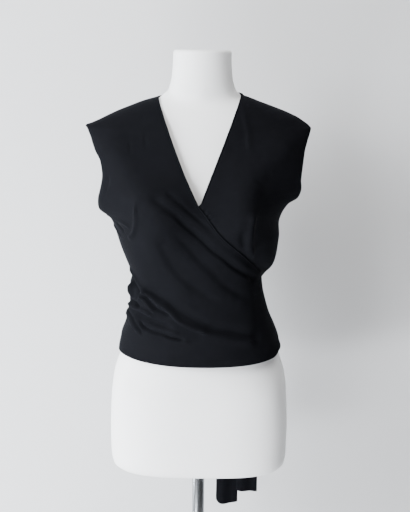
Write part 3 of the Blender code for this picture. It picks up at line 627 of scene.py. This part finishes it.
def bell(distance, middle, width):
    """1 at the middle and falling off like a bell on both sides."""
    return np.exp(-((distance - middle) / width) ** 2)


STITCH_IN = 0.0033  # from a sewn edge to its stitches
STITCH_WIDTH = 0.0006
HEM_DEPTH = 0.0137  # from the bottom hem to its stitches
LIP_IN = 0.0014
LIP_WIDTH = 0.0012
EDGE_RELIEF = 0.0005


def hem_relief(distance):
    """A turned and stitched edge: a rounded lip, then a fine groove where the stitches pull in."""
    return EDGE_RELIEF * (bell(distance, LIP_IN, LIP_WIDTH) - bell(distance, STITCH_IN, STITCH_WIDTH))


def stitched(edge_distance, points):
    """Where the machine stitches run: near the sewn edges, and along the turned-up bottom hem."""
    by_hem = bell(distance_along(points, 0), HEM_DEPTH, STITCH_WIDTH)
    return bell(edge_distance, STITCH_IN, STITCH_WIDTH) + by_hem


# ======== back
# One piece of crepe from the hem to the shoulder seams. The ties draw it in at the waist, so soft
# folds run up and down from them; above, it hangs from the shoulder blades.

BACK_COLUMNS = 110
BACK_FOLDS = [
    (-1.6, 9, 11, 250, 905, 247, 880, 246, 868),
    (-1.8, 10, 12, 282, 925, 284, 895, 285, 868),
    (-1.4, 9, 10, 318, 925, 322, 895, 324, 870),
    (3, 11, 16, 300, 995, 297, 1030, 292, 1085),
    (3.4, 16, 12, 262, 1000, 265, 1045, 266, 1100),
    (2.8, 12, 14, 240, 998, 236, 1035, 231, 1075),
    (2.6, 10, 14, 335, 1005, 330, 1050, 324, 1100),
    (2.8, 13, 11, 214, 1030, 222, 1075, 231, 1120),
    (3, 13, 16, 345, 1160, 330, 1190, 312, 1235),
    (2.8, 16, 12, 197, 1180, 211, 1205, 228, 1240),
    (-1.4, 10, 12, 300, 1340, 292, 1290, 288, 1240),
    (-1.4, 12, 10, 240, 1340, 248, 1290, 252, 1240),
]
BACK_EASE = 0.0016  # how far it stands off between its folds
BACK_FREE = (0.870, 0.90, 1.28, 1.33)  # heights between which it comes off the plain surface
BACK_NECK_RISE = (2.4, 4.0)  # powers of the neckline's curve, right and left half

# The free edge of the right front, which the ties pull round to the back: at each share of the
# rows, the height of that row at the side seam and the edge's own turn and height.
Edge = namedtuple("Edge", "row seam turn z")
RIGHT_EDGE = [
    Edge(0.00, HEM_HEIGHT, 207, 0.928),
    Edge(0.24, 0.968, 207, 0.966),
    Edge(0.31, 0.998, 197, 0.992),
    Edge(0.36, 1.022, 181, 1.012),
    Edge(0.41, 1.049, 160, 1.027),
    Edge(0.46, 1.075, 138, 1.053),
    Edge(0.51, 1.100, 121, 1.081),
    Edge(0.57, 1.128, 104, 1.118),
    Edge(0.62, RIGHT_UNDERARM, 90, CROSSING),
]
WRAP_EDGE = [(edge.turn, edge.z) for edge in RIGHT_EDGE[:0:-1]]
CLIMB = 1.35  # above 1 the rows lie closer towards the shoulder
BELLY = 0.0180  # the bag of cloth over the wrap edge at the left waist
BELLY_REACH = 0.023  # height over its foot at which it is fullest
BELLY_FOOT = 0.003  # height of its foot over the wrap edge
BELLY_TURN = (128.0, 172.0, 184.0, 224.0)
BELLY_TOP = (BUST_Z, BUST_Z - 0.048)  # heights between which it ends


def window(value, reach):
    """0 outside reach and 1 inside it; reach is (begins, full from, full to, ends)."""
    return ramp(value, *reach[:2]) * ramp(value, *reach[:1:-1])


def belly(turn, z):
    """How far the cloth bellies out above the wrap edge: a rise over its foot, then a slow fall."""
    foot = smooth_rows(WRAP_EDGE, turn)[0] + BELLY_FOOT
    above = np.clip((z - foot) / BELLY_REACH, 0.0, None)
    full = window(turn, BELLY_TURN) * ramp(z, *BELLY_TOP)
    return BELLY * above * np.exp(1.0 - above) * full


def back_grid(row, column):
    """Turn and height on the back; rows climb from the hem, columns go from right to left side.

    Below the underarms a row goes evenly round the body. Above them it straightens out and
    bends up to the shoulder seams and the back neckline.
    """
    middle = RIGHT_EDGE[-1].row
    climb = 1.0 - (1.0 - np.clip((row - middle) / (1.0 - middle), 0.0, 1.0)) ** CLIMB
    below = np.minimum(row / middle, 1.0)
    left_z, right_z = (
        HEM_HEIGHT + (underarm - HEM_HEIGHT) * below + (SHOULDER_TIP - underarm) * climb
        for underarm in (RIGHT_UNDERARM, LEFT_UNDERARM)
    )
    left_x = smooth_rows(GARMENT, left_z)[0]
    right_x = smooth_rows(GARMENT, right_z)[1]
    mix = ramp(climb, 0.0, 0.9)[:, None]
    place = np.cos(np.pi * column) * (1 - mix) + (1.0 - 2.0 * column) * mix
    x = np.where(place > 0, -place * left_x[:, None], -place * right_x[:, None])
    top_x = x[-1]
    neck_point = np.where(top_x < 0, RIGHT_NECK_POINT, LEFT_NECK_POINT)
    neck_end = seam_height(np.sign(top_x) * neck_point)
    neck_rise = np.clip(1.0 - (top_x / neck_point) ** 2, 0.0, 1.0)
    neck_rise = neck_rise ** np.where(top_x < 0, *BACK_NECK_RISE)
    neck = neck_end + (BACK_NECK_HEIGHT - neck_end) * neck_rise
    top = np.where(np.abs(top_x) < neck_point, neck, seam_height(top_x))
    side_z = left_z[:, None] * (1 - column) + right_z[:, None] * column
    hem = -HEM_DIP * np.sin(np.pi * column) * ramp(row, 0.4, 0.0)[:, None]
    z = side_z + (top - side_z[-1]) * (climb ** 1.2)[:, None] + hem
    z = np.where(np.abs(x) >= LEFT_NECK_POINT, np.minimum(z, seam_height(x)), z)
    return turn_at(x, z, behind=True), z


def rows_between(stretches):
    """Places along a grid, from (from, to, count) for each stretch."""
    spread = [np.linspace(low, high, count, endpoint=False) for low, high, count in stretches]
    return np.append(np.concatenate(spread), stretches[-1][1])


HEM_ROWS = [(0.0, 0.010, 5), (0.010, 0.022, 3), (0.022, 0.034, 6)]
back_rows = rows_between([*HEM_ROWS, (0.034, 0.62, 88), (0.62, 0.985, 58), (0.985, 1.0, 8)])
back_coarse = garment_surface(*back_grid(back_rows, np.linspace(0.0, 1.0, 60)[None, :]))
back_length = distance_along(back_coarse, 1)[:, -1]
back_turn, back_z = back_grid(back_rows, shares(back_length, BACK_COLUMNS)[:1])
back_plain = garment_surface(back_turn, back_z)
back_lift = np.maximum(BACK_EASE + fold_lift(BACK_FOLDS, back_plain), 0.0)
back_lift *= window(back_z, BACK_FREE) * ramp(np.abs(back_turn - 270.0), 90.0, 76.0)
back_lift += belly(back_turn, back_z)
back_points = back_plain + outward(back_turn, back_z) * back_lift[..., None]
back_points[:, 0, 1] += SEAM_GAP / 2
back_points[:, -1, 1] += SEAM_GAP / 2
top_x = back_points[-1, :, 0]
on_shoulder = (top_x < -RIGHT_NECK_POINT) | (top_x > LEFT_NECK_POINT)
back_points[-1, on_shoulder, 1] = SHOULDER_LINE + SEAM_GAP / 2
below_neckline = back_points[-1:, :, 2] - back_points[..., 2]
from_neckline = np.where(np.abs(top_x) < LEFT_NECK_POINT, below_neckline, 1.0)
back = wall("back_panel_look", back_points, stitched(from_neckline, back_points), turned_over=True)
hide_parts("back_panel")

# ======== fronts
# Both fronts are cut in one with a cap shoulder and run on into a tie. The left one lies inside.

LEFT_EDGE = [
    Edge(0.00, HEM_HEIGHT + 0.004, 163, 0.912),
    Edge(0.28, 0.984, 163, 0.968),
    Edge(0.36, 1.022, 157, 0.994),
    Edge(0.43, 1.060, 144, 1.030),
    Edge(0.50, 1.104, 125, 1.080),
    Edge(0.56, 1.142, 107, 1.128),
    Edge(0.62, LEFT_UNDERARM, 90, CROSSING + 0.010),
]
FRONT_HEM_ROWS = 0.30  # share of the rows over which the hem's curve fades out
RIGHT_HEM_RISE = 150.0  # turn from which the hem climbs to the foot of the wrap edge
LEFT_HEM_RISE = 60.0
RIGHT_NECK_CURVE = 0.84  # below 1 the neckline bows towards its shoulder, above 1 away from it
LEFT_NECK_CURVE = 1.01


def front_grid(edges, neck_point, row, column, mirrored):
    """Turn and height on a front, from its own side seam (first column) to its free edge.

    Rows climb from the hem to the shoulder seam. Up to the crossing the free edge is the wrap
    edge, above it the neckline. column holds a row of shares for each row of the grid.
    """
    crossing = edges[-1]
    seam, edge_turn, edge_z = smooth_rows(edges, np.minimum(row, crossing.row))
    climb = np.clip((row - crossing.row) / (1.0 - crossing.row), 0.0, 1.0)
    climb = 1.0 - (1.0 - climb) ** CLIMB

    # up to the crossing a row goes evenly round the body
    turn = column * edge_turn[:, None]
    share = column ** 1.1
    z = seam[:, None] * (1 - share) + edge_z[:, None] * share
    low = ramp(row, FRONT_HEM_ROWS, 0.0)[:, None]
    level = edges[0].seam - HEM_DIP * np.sin(np.radians(np.minimum(turn, 180.0)))
    if not mirrored:
        level = level - HEM_SKEW * np.sin(np.radians(2.0 * np.clip(turn, 90.0, 180.0))) ** 2
    rise = ramp(turn, LEFT_HEM_RISE if mirrored else RIGHT_HEM_RISE, edge_turn[0])
    hem = level * (1 - rise) + edges[0].z * rise
    straight = edges[0].seam * (1 - share) + edges[0].z * share
    z = z + (hem - straight) * low

    # above it a row goes from the armhole to the neckline
    side = 1.0 if mirrored else -1.0
    arm_z = crossing.seam + (SHOULDER_TIP - crossing.seam) * climb
    left, right = smooth_rows(GARMENT, arm_z)[:2]
    arm_x = right if mirrored else left
    neck_x = neck_point * climb ** (LEFT_NECK_CURVE if mirrored else RIGHT_NECK_CURVE)
    neck_z = crossing.z + (seam_height(side * neck_point) - crossing.z) * climb
    rounded_share = 1.0 - np.cos(0.5 * np.pi * column)
    mix = ramp(climb, 0.0, 0.8)[:, None]
    place = rounded_share * (1 - mix) + column * mix
    x = arm_x[:, None] + (neck_x - arm_x)[:, None] * place
    upper_z = arm_z[:, None] + (neck_z - arm_z)[:, None] * place
    on_seam = ramp(climb, 0.55, 1.0)[:, None]
    chord = arm_z[-1] + (neck_z[-1] - arm_z[-1]) * place
    seam_x = arm_x[-1] + (neck_x[-1] - arm_x[-1]) * column
    upper_z = upper_z + (seam_height(side * seam_x) - chord) * on_seam * climb[:, None]
    upper_z = np.minimum(upper_z, seam_height(side * x))
    upper_turn = turn_at(side * x, upper_z)
    if mirrored:
        upper_turn = 180.0 - upper_turn

    above = (row > crossing.row)[:, None]
    turn = np.where(above, upper_turn, turn)
    z = np.where(above, upper_z, z)
    return (180.0 - turn if mirrored else turn), z


def front_places(edges, neck_point, row, count, mirrored):
    """front_grid with hem columns at both ends of every row, spaced by real distance.

    With them come the points of the plain surface and the distances from the side edge, from the
    free edge and from the nearest hemmed one: the free edge or, above the underarm, the armhole.
    """
    coarse = np.linspace(0.0, 1.0, 80)[None, :] + np.zeros((len(row), 1))
    along = distance_along(garment_surface(*front_grid(edges, neck_point, row, coarse, mirrored)), 1)
    length = along[:, -1]
    wanted = shares(length, count) * length[:, None]
    column = np.stack([np.interp(want, have, coarse[0]) for want, have in zip(wanted, along)])
    free = length[:, None] - wanted
    armhole = np.where((row > edges[-1].row)[:, None], wanted, 1.0)
    turn, z = front_grid(edges, neck_point, row, column, mirrored)
    return turn, z, garment_surface(turn, z), wanted, free, np.minimum(free, armhole)


def front_wall(name, plain, turn, z, lift, hem, turned_over=False):
    """A front this far outside the plain surface, its side and shoulder seams laid to the back's."""
    points = plain + outward(turn, z) * lift[..., None]
    points[:, 0, 1] -= SEAM_GAP / 2
    points[-1, :, 1] = SHOULDER_LINE - SEAM_GAP / 2
    return wall(name, points, stitched(hem, points), turned_over=turned_over)


# The left front. Where it shows, the tie pulls it into a fold over the bust and a pouch above
# the wrap edge.
LEFT_FOLDS = [
    # from the shoulder down to the bust; beyond it the cloth turns away
    (8.5, 22, 34, 147, 1310, 142, 1280, 132, 1256, 124, 1239, 118.5, 1222, 118.5, 1194, 121, 1160),
    # over the bust, sharper and sharper down to the wrap edge
    (7, 18, 22, 121, 1190, 122, 1161, 123, 1129, 125, 1101, 128, 1082, 133, 1063),
    (6.2, 7, 5, 122, 1168, 123, 1148, 124, 1129, 125, 1101, 129, 1080, 136, 1052, 143, 1034),
    (-5, 4, 6, 119, 1135, 120, 1112, 122, 1094, 127, 1070, 132, 1051, 138, 1032),
    # from the neck point
    (1.9, 8, 3.8, 138, 1364, 127, 1356, 115, 1326, 115, 1297, 117, 1270),
]
PUCKERS = [
    (3.4, 8, 7, 88, 1176, 91, 1163, 95, 1150, 101, 1136),
    (-4, 2.2, 2.2, 88, 1157, 92, 1164, 96, 1173),
    (-4, 2.2, 2.2, 91, 1147, 95, 1157, 99, 1163),
    (-3.6, 2.2, 2.2, 92, 1140, 96, 1149, 100, 1155),
]
LEFT_EASE = 0.0030  # how far it stands off between its folds
LEFT_FREE = (1.04, 1.08, 1.30, 1.35)  # heights between which it comes off the plain surface
LEFT_SHOWN = (-0.002, 0.016)  # above the wrap edge, where it comes out from under it
SLIT_PRESS = 0.009  # the tie in the slit presses it in, within these limits
SLIT_TURN = (0.0, 6.0, 40.0, 50.0)
SLIT_HEIGHT = (0.950, 0.969, 1.030, 1.045)
left_rows = rows_between([
    (0.0, 0.28, 22), (0.28, 0.55, 64), (0.55, 0.70, 54), (0.70, 0.985, 46), (0.985, 1.0, 8),
])
left_turn, left_z, left_plain, _, _, left_hem = front_places(
    LEFT_EDGE, LEFT_NECK_POINT, left_rows, 140, mirrored=True
)
over_edge = left_z - smooth_rows(WRAP_EDGE, np.clip(left_turn, 90.0, 207.0))[0]
left_folds = LEFT_EASE * window(left_z, LEFT_FREE) + fold_lift(LEFT_FOLDS, left_plain)
left_folds = np.maximum(left_folds, 0.0) * ramp(over_edge, *LEFT_SHOWN) * ramp(left_turn, 180.0, 172.0)
puckers = np.maximum(fold_lift(PUCKERS, left_plain), 0.0) * ramp(over_edge, 0.0, 0.004)
left_lift = belly(left_turn, left_z) + hem_relief(left_hem) * ramp(left_z, 1.165, 1.175)
left_lift += left_folds + puckers
left_lift -= SLIT_PRESS * window(left_turn, SLIT_TURN) * window(left_z, SLIT_HEIGHT)
left = front_wall("left_front_look", left_plain, left_turn, left_z, left_lift, left_hem, turned_over=True)
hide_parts("left_front")

# The right front lies over it. The tie draws it round to the left side, so long folds run down
# across it from the bust, and shorter ones gather where the inner tie comes out at the side seam.
TIE_UNDER = (0.880, 0.905, 1.010, 1.035)  # heights at which the inner tie lies under its side edge
TIE_SLIT = (0.905, 0.935, 0.998, 1.022)  # and at which it comes out there
FULLNESS = 0.0048  # how far it stands off where it is drawn, within these limits
DRAWN_HEIGHT = (0.870, 0.915, 1.190, 1.250)
DRAWN_TURN = (10.0, 45.0, 150.0, 190.0)
UPPER_EASE = 0.0018  # and between the bust and the shoulder
UPPER_FREE = (1.19, 1.25, 1.31, 1.35)
RIGHT_FOLDS = [
    # drawn from the bust to the left waist, just under the wrap edge
    (-4.2, 6, 3.6, 68, 1200, 74, 1187, 79, 1174, 83, 1163, 88, 1150, 92, 1140, 97, 1129, 103, 1115),
    (-5, 9, 5.2, 60, 1191, 69, 1171, 75, 1157, 79, 1143, 88, 1117, 98, 1089, 107, 1072, 115, 1056,
     127, 1039, 140, 1024, 150, 1013),
    # broad soft rolls over the midriff, with a shallow trough beside each
    (3.6, 12, 28, 60, 1130, 61, 1094, 64, 1064, 68, 1040, 74, 1020, 82, 1001, 89, 987),
    (3, 11, 18, 71, 1118, 78, 1092, 85, 1063, 95, 1033, 107, 1006, 120, 988, 134, 968),
    (-1.4, 7, 9, 65, 1110, 66, 1088, 70, 1061, 75, 1037, 81, 1024, 88, 1009, 97, 993, 106, 981),
    (-1.6, 7, 9, 72, 1132, 77, 1113, 84, 1089, 92, 1062, 100, 1044, 105, 1031, 115, 1011, 130, 987),
    # the long fold from the tie's slit across the waist: a sharp roll with a hollow above it
    (-5.4, 13, 7, 40, 1003, 50, 997, 57, 992, 64, 984, 71, 971, 79, 960, 88, 948, 95, 936, 105, 928,
     118, 919, 134, 907, 140, 900),
    (5.6, 5.5, 2.6, 36, 999, 40, 994, 50, 986, 56, 977, 63, 969, 68, 960, 72, 951, 76, 944, 81, 938,
     88, 931, 97, 925),
    (3.4, 4, 13, 88, 932, 97, 924, 106, 919, 116, 913, 128, 904, 136, 897),
    # gathers that fan out from the slit
    (-4.8, 3, 5.5, 38, 994, 43, 985, 48, 977, 54, 967, 60, 962, 70, 954),
    (3.6, 2.6, 2.8, 33, 991, 38, 981, 43, 974, 49, 964, 55, 955),
    (-5.6, 2.4, 2.8, 3, 971, 12, 968, 26, 968, 32, 964, 39, 959),
    (4.6, 3, 3, 2, 954, 16, 959, 34, 959, 42, 957, 53, 948),
    (10.5, 23, 4, 1, 950, 12, 942, 22, 937, 38, 919, 46, 908),
    (-4.6, 1.8, 2, 6, 953, 18, 948, 29, 941, 38, 928, 43, 917, 46, 909),
    (-4.6, 3, 13, 30, 951.5, 36, 950, 44, 948, 52, 944, 59, 940, 67, 934, 73, 927),
    (-6.6, 2.2, 3, 38, 939, 40, 936, 45, 927, 53, 922, 62, 919, 70, 914, 81, 910),
    (2.8, 4.4, 2.4, 43, 936, 52, 931, 61, 928, 70, 924, 78, 921),
    (1.8, 6, 3.6, 60, 916, 68, 912, 76, 908, 87, 905),
    # the hollow above the slit, and the crest beside it
    (10.8, 7, 26, 12, 1012, 17, 999, 18, 987, 17, 966),
    (-7, 3.6, 7, 9, 1018, 21, 1008, 31, 1000, 33, 988, 27, 972),
    (4.4, 6, 3.4, 12, 1036, 20, 1022, 30, 1008, 40, 994, 34, 984, 27, 974),
    # short folds from the underarm to the bust
    (3.8, 3.2, 5, 52, 1180, 51, 1160, 50, 1143, 48, 1128, 45, 1115, 37, 1100),
    (3, 3, 3, 6, 1139, 20, 1137, 32, 1135, 44, 1128),
    (-3.4, 2.6, 3, 8, 1144, 20, 1134, 29, 1124, 36, 1114),
    (2.6, 3.6, 3.6, 8, 1120, 18, 1112, 26, 1098),
    (-2.6, 7, 5, 25, 1226, 20, 1210, 15, 1192, 8, 1170),
    # the roll from the shoulder to the bust, and creases left by hanging
    (7.5, 30, 30, 30, 1312, 37, 1281, 42, 1248, 49, 1215, 56, 1192, 64, 1174),
    (-1, 5, 4, 44, 1350, 52, 1334, 55, 1318),
    (-0.9, 5, 3, 62, 1314, 60, 1294, 60, 1272),
    (-0.9, 5, 3, 51, 1292, 50, 1278, 49, 1260),
    # where the left side turns away
    (3.4, 14, 22, 126, 1062, 128, 1042, 131, 1022, 137, 992, 136, 965, 133, 942, 128, 914, 124, 886),
]
FULLER_BEHIND = 0.3  # share by which it stands off further where it goes round the left side
HOLLOW = 0.006  # the cloth may sink this far into the slit, within these limits
HOLLOW_TURN = (4.0, 10.0, 34.0, 44.0)
HOLLOW_HEIGHT = (0.958, 0.974, 1.018, 1.030)
EDGE_LIFT = 0.0028  # the wrap edge lies close on the left front
EDGE_HELD = (0.034, 0.002)  # the cloth comes away from it between these distances
HELD_HEIGHT = (1.000, 1.040, CROSSING + 0.005, CROSSING + 0.040)
right_rows = rows_between([
    *HEM_ROWS, (0.034, 0.24, 50), (0.24, 0.36, 36), (0.36, 0.62, 58), (0.62, 0.985, 52), (0.985, 1.0, 6),
])
right_turn, right_z, right_plain, right_side, right_free, right_hem = front_places(
    RIGHT_EDGE, RIGHT_NECK_POINT, right_rows, 172, mirrored=False
)
over_layer = np.maximum(ramp(right_turn, 1.0, 14.0), window(right_z, TIE_UNDER))
over_layer *= ramp(right_z, CROSSING + 0.065, CROSSING + 0.015)
over_layer *= 1.0 + FULLER_BEHIND * ramp(right_turn, 165.0, 182.0)
drawn = window(right_turn, DRAWN_TURN) * window(right_z, DRAWN_HEIGHT)
right_folds = FULLNESS * drawn + fold_lift(RIGHT_FOLDS, right_plain)
right_folds += UPPER_EASE * window(right_z, UPPER_FREE)
sunk = HOLLOW * window(right_turn, HOLLOW_TURN) * window(right_z, HOLLOW_HEIGHT)
right_lift = LAYER_STEP * over_layer + np.maximum(right_folds, -sunk) * ramp(right_turn, 1.0, 9.0)
at_slit = window(right_z, TIE_SLIT) * ramp(right_turn, 20.0, 8.0)
right_lift = np.maximum(right_lift, 2.0 * LAYER_STEP * at_slit)
held_down = ramp(right_free, *EDGE_HELD) * window(right_z, HELD_HEIGHT)
right_lift += (EDGE_LIFT - right_lift) * held_down
past_tie = np.maximum(ramp(right_rows, 0.24, 0.30)[:, None], right_side > 0.2)
right_lift += hem_relief(right_hem) * past_tie
right = front_wall("right_front_look", right_plain, right_turn, right_z, right_lift, right_hem)
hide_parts("right_front")

# ======== ties
# Each front runs on into a soft tie. The inner one comes out at the right side seam and crosses
# the back; the two are knotted behind the left hip, and their ends hang down.

Band = namedtuple("Band", "turn low high")
LEFT_TIE = [
    Band(163.3, 0.912, 0.968),
    Band(171.0, 0.934, 0.984),
    Band(180.0, 0.944, 0.992),
    Band(215.0, 0.936, 0.982),
    Band(280.0, 0.931, 0.977),
    Band(309.8, 0.939, 0.969),
]
RIGHT_TIE = [
    Band(207.3, 0.928, 0.966),
    Band(216.0, 0.934, 0.972),
    Band(229.8, 0.939, 0.969),
]
TIE_FOLDS = (0.0016, 0.0009, 0.0007)  # heights of the broad and the fine folds and the gathers


def tie_points(bands, lift, columns, mirrored):
    """A band round the body between its two edges, with soft lengthwise folds across its width."""
    across = np.linspace(0.0, 1.0, 40)[:, None]
    turn = np.linspace(bands[0].turn, bands[-1].turn, columns)[None, :] + np.zeros_like(across)
    low, high = smooth_rows(bands, turn)
    z = low + (high - low) * across
    free = ramp(turn - bands[0].turn, 18.0, 36.0) * ramp(bands[-1].turn - turn, 2.0, 50.0)
    broad, fine, gathers = TIE_FOLDS
    folds = broad * np.sin(2.0 * np.pi * across + 0.5 * np.sin(turn / 19.0)) ** 2
    folds += fine * np.sin(5.0 * np.pi * across + turn / 31.0) ** 2
    at_knot = ramp(turn, bands[-1].turn - 22.0, bands[-1].turn)
    gather = gathers * np.sin(7.0 * np.pi * across) ** 2 * at_knot
    body_turn = np.mod(180.0 - turn, 360.0) if mirrored else turn
    offset = (lift(turn) + folds * free + gather)[..., None]
    return garment_surface(body_turn, z) + outward(body_turn, z) * offset


left_tie = wall(
    "left_tie_look",
    tie_points(LEFT_TIE, lambda turn: LAYER_STEP * ramp(turn, 166.0, 177.0), 170, mirrored=True),
    turned_over=True,
)
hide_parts("left_tie")
right_tie = wall("right_tie_look", tie_points(RIGHT_TIE, lambda turn: LAYER_STEP, 36, mirrored=False))
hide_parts("right_tie")

# The knot: the ties cross and one goes once round both, so its folds run up over the front.
KNOT_TURN = 230.0
KNOT_HEIGHT = 0.954
KNOT_SIZE = (0.0185, 0.0110, 0.0190)  # half its length along the ties, its depth and its height
KNOT_ROWS = 90
KNOT_SIDES = 120
KNOT_GIRTH = 0.090  # length of cloth round it, and up it
KNOT_RISE = 0.055
TOUCH_GAP = 0.0003  # between pieces that touch


def knot_frame():
    """The knot's centre and the directions along the ties, out of the back and up."""
    here = garment_surface(KNOT_TURN, KNOT_HEIGHT)
    above = garment_surface(KNOT_TURN, KNOT_HEIGHT + 0.01)
    out = outward(np.array(KNOT_TURN), np.array(KNOT_HEIGHT))
    up = (above - here) / np.linalg.norm(above - here)
    along = np.cross(up, out)
    out = np.cross(along, up)
    rest = LAYER_STEP + CLOTH + 2.0 * TOUCH_GAP + KNOT_SIZE[1]
    return here + out * rest, along, out, up


def knot_points():
    """A block with full cheeks, squeezed by grooves that run slantwise over it like wound cloth."""
    centre, along, out, up = knot_frame()
    tilt = np.linspace(-0.497 * np.pi, 0.497 * np.pi, KNOT_ROWS)[:, None]
    angle = np.linspace(0.0, 2.0 * np.pi, KNOT_SIDES, endpoint=False)[None, :]

    def full(value, power):
        return np.sign(value) * np.abs(value) ** power

    wide = full(np.cos(tilt), 0.7) * full(np.cos(angle), 0.8)
    deep = full(np.cos(tilt), 0.7) * full(np.sin(angle), 0.8)
    high = full(np.sin(tilt), 0.8) * np.ones_like(angle)
    wound = 0.10 * np.cos(tilt) * (np.abs(np.sin(4.0 * wide + 1.6 * high)) ** 0.6 - 1.0)
    waist = -0.12 * np.exp(-((np.abs(wide) - 0.72) / 0.10) ** 2)
    size = 1.0 + wound + waist
    return (
        centre
        + (wide * size * KNOT_SIZE[0])[..., None] * along
        - (deep * size * KNOT_SIZE[1])[..., None] * out
        + (high * size * KNOT_SIZE[2])[..., None] * up
    )


knot = grid_mesh("tie_knot_look", knot_points(), black, ring=True, ends=True)
up_it = np.linspace(0.0, KNOT_RISE, KNOT_ROWS)[:, None]
knot_flat = places(np.linspace(0.0, KNOT_GIRTH, KNOT_SIDES + 1), up_it)
lower, upper = knot_flat[:-1], knot_flat[1:]
side_map = np.stack([lower[:, :-1], lower[:, 1:], upper[:, 1:], upper[:, :-1]], axis=2)
cap_map = knot_flat[[0, -1], :-1]
knot_layer = knot.data.uv_layers.new(name="cloth")
knot_layer.data.foreach_set("uv", np.concatenate([side_map.ravel(), cap_map.ravel()]))
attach(knot, "root")
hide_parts("tie_knot")

# The two tails leave the knot narrow and open out flat as they fall.
Tail = namedtuple("Tail", "node x width y end corner start")
TAILS = [
    Tail("tie_tail_right", 0.0649, 0.0488, 0.1240, 0.4455, 0.0105, -0.0110),
    Tail("tie_tail_left", 0.1092, 0.0467, 0.1100, 0.4840, 0.0010, 0.0110),
]
TAIL_NECK = 0.020  # width at the knot
TAIL_LOWEST = -0.10  # place of the lowest point, as a share of the width, from the middle
TIE_RIPPLE = 0.0016


def tail_points(tail):
    """A strip that lies on the back as far as the hem, hangs straight from there, and ripples.

    Its end is rounded: both corners stand higher than its lowest place, the left one sharply.
    """
    centre, along, out, up = knot_frame()
    top = centre - up * (KNOT_SIZE[2] + 3.0 * TOUCH_GAP)
    down = np.linspace(0.0, 1.0, 150)[:, None]
    across = np.linspace(-0.5, 0.5, 36)[None, :]
    to_left = np.clip((TAIL_LOWEST - across) / (0.5 + TAIL_LOWEST), 0.0, 1.0)
    to_right = np.clip((across - TAIL_LOWEST) / (0.5 - TAIL_LOWEST), 0.0, 1.0)
    end = tail.end + tail.corner * (to_left ** 4 + 0.7 * to_right ** 1.5)
    z = top[2] + (end - top[2]) * down
    opened = ramp(down, 0.0, 0.45)
    width = TAIL_NECK + (tail.width - TAIL_NECK) * opened
    middle = top[0] + tail.start + (tail.x - top[0] - tail.start) * opened
    x = middle + width * across
    resting = np.maximum(z, HEM_HEIGHT - HEM_DIP)
    lying = garment_surface(turn_at(x, resting, behind=True), resting)[..., 1] + CLOTH + 3.0 * TOUCH_GAP
    hanging = ramp(z, HEM_HEIGHT + 0.045, HEM_HEIGHT)
    y = lying + np.maximum(tail.y - lying, 0.0) * hanging
    from_knot = np.maximum(top[1] - y[:1], 0.0) * ramp(down, 0.10, 0.0)
    wave = TIE_RIPPLE * (1.0 + np.cos(3.0 * np.pi * across + 5.0 * down)) * opened
    return places(x, y + from_knot + wave, z)


for tail in TAILS:
    strip = wall(tail.node + "_look", tail_points(tail))
    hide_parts(tail.node)
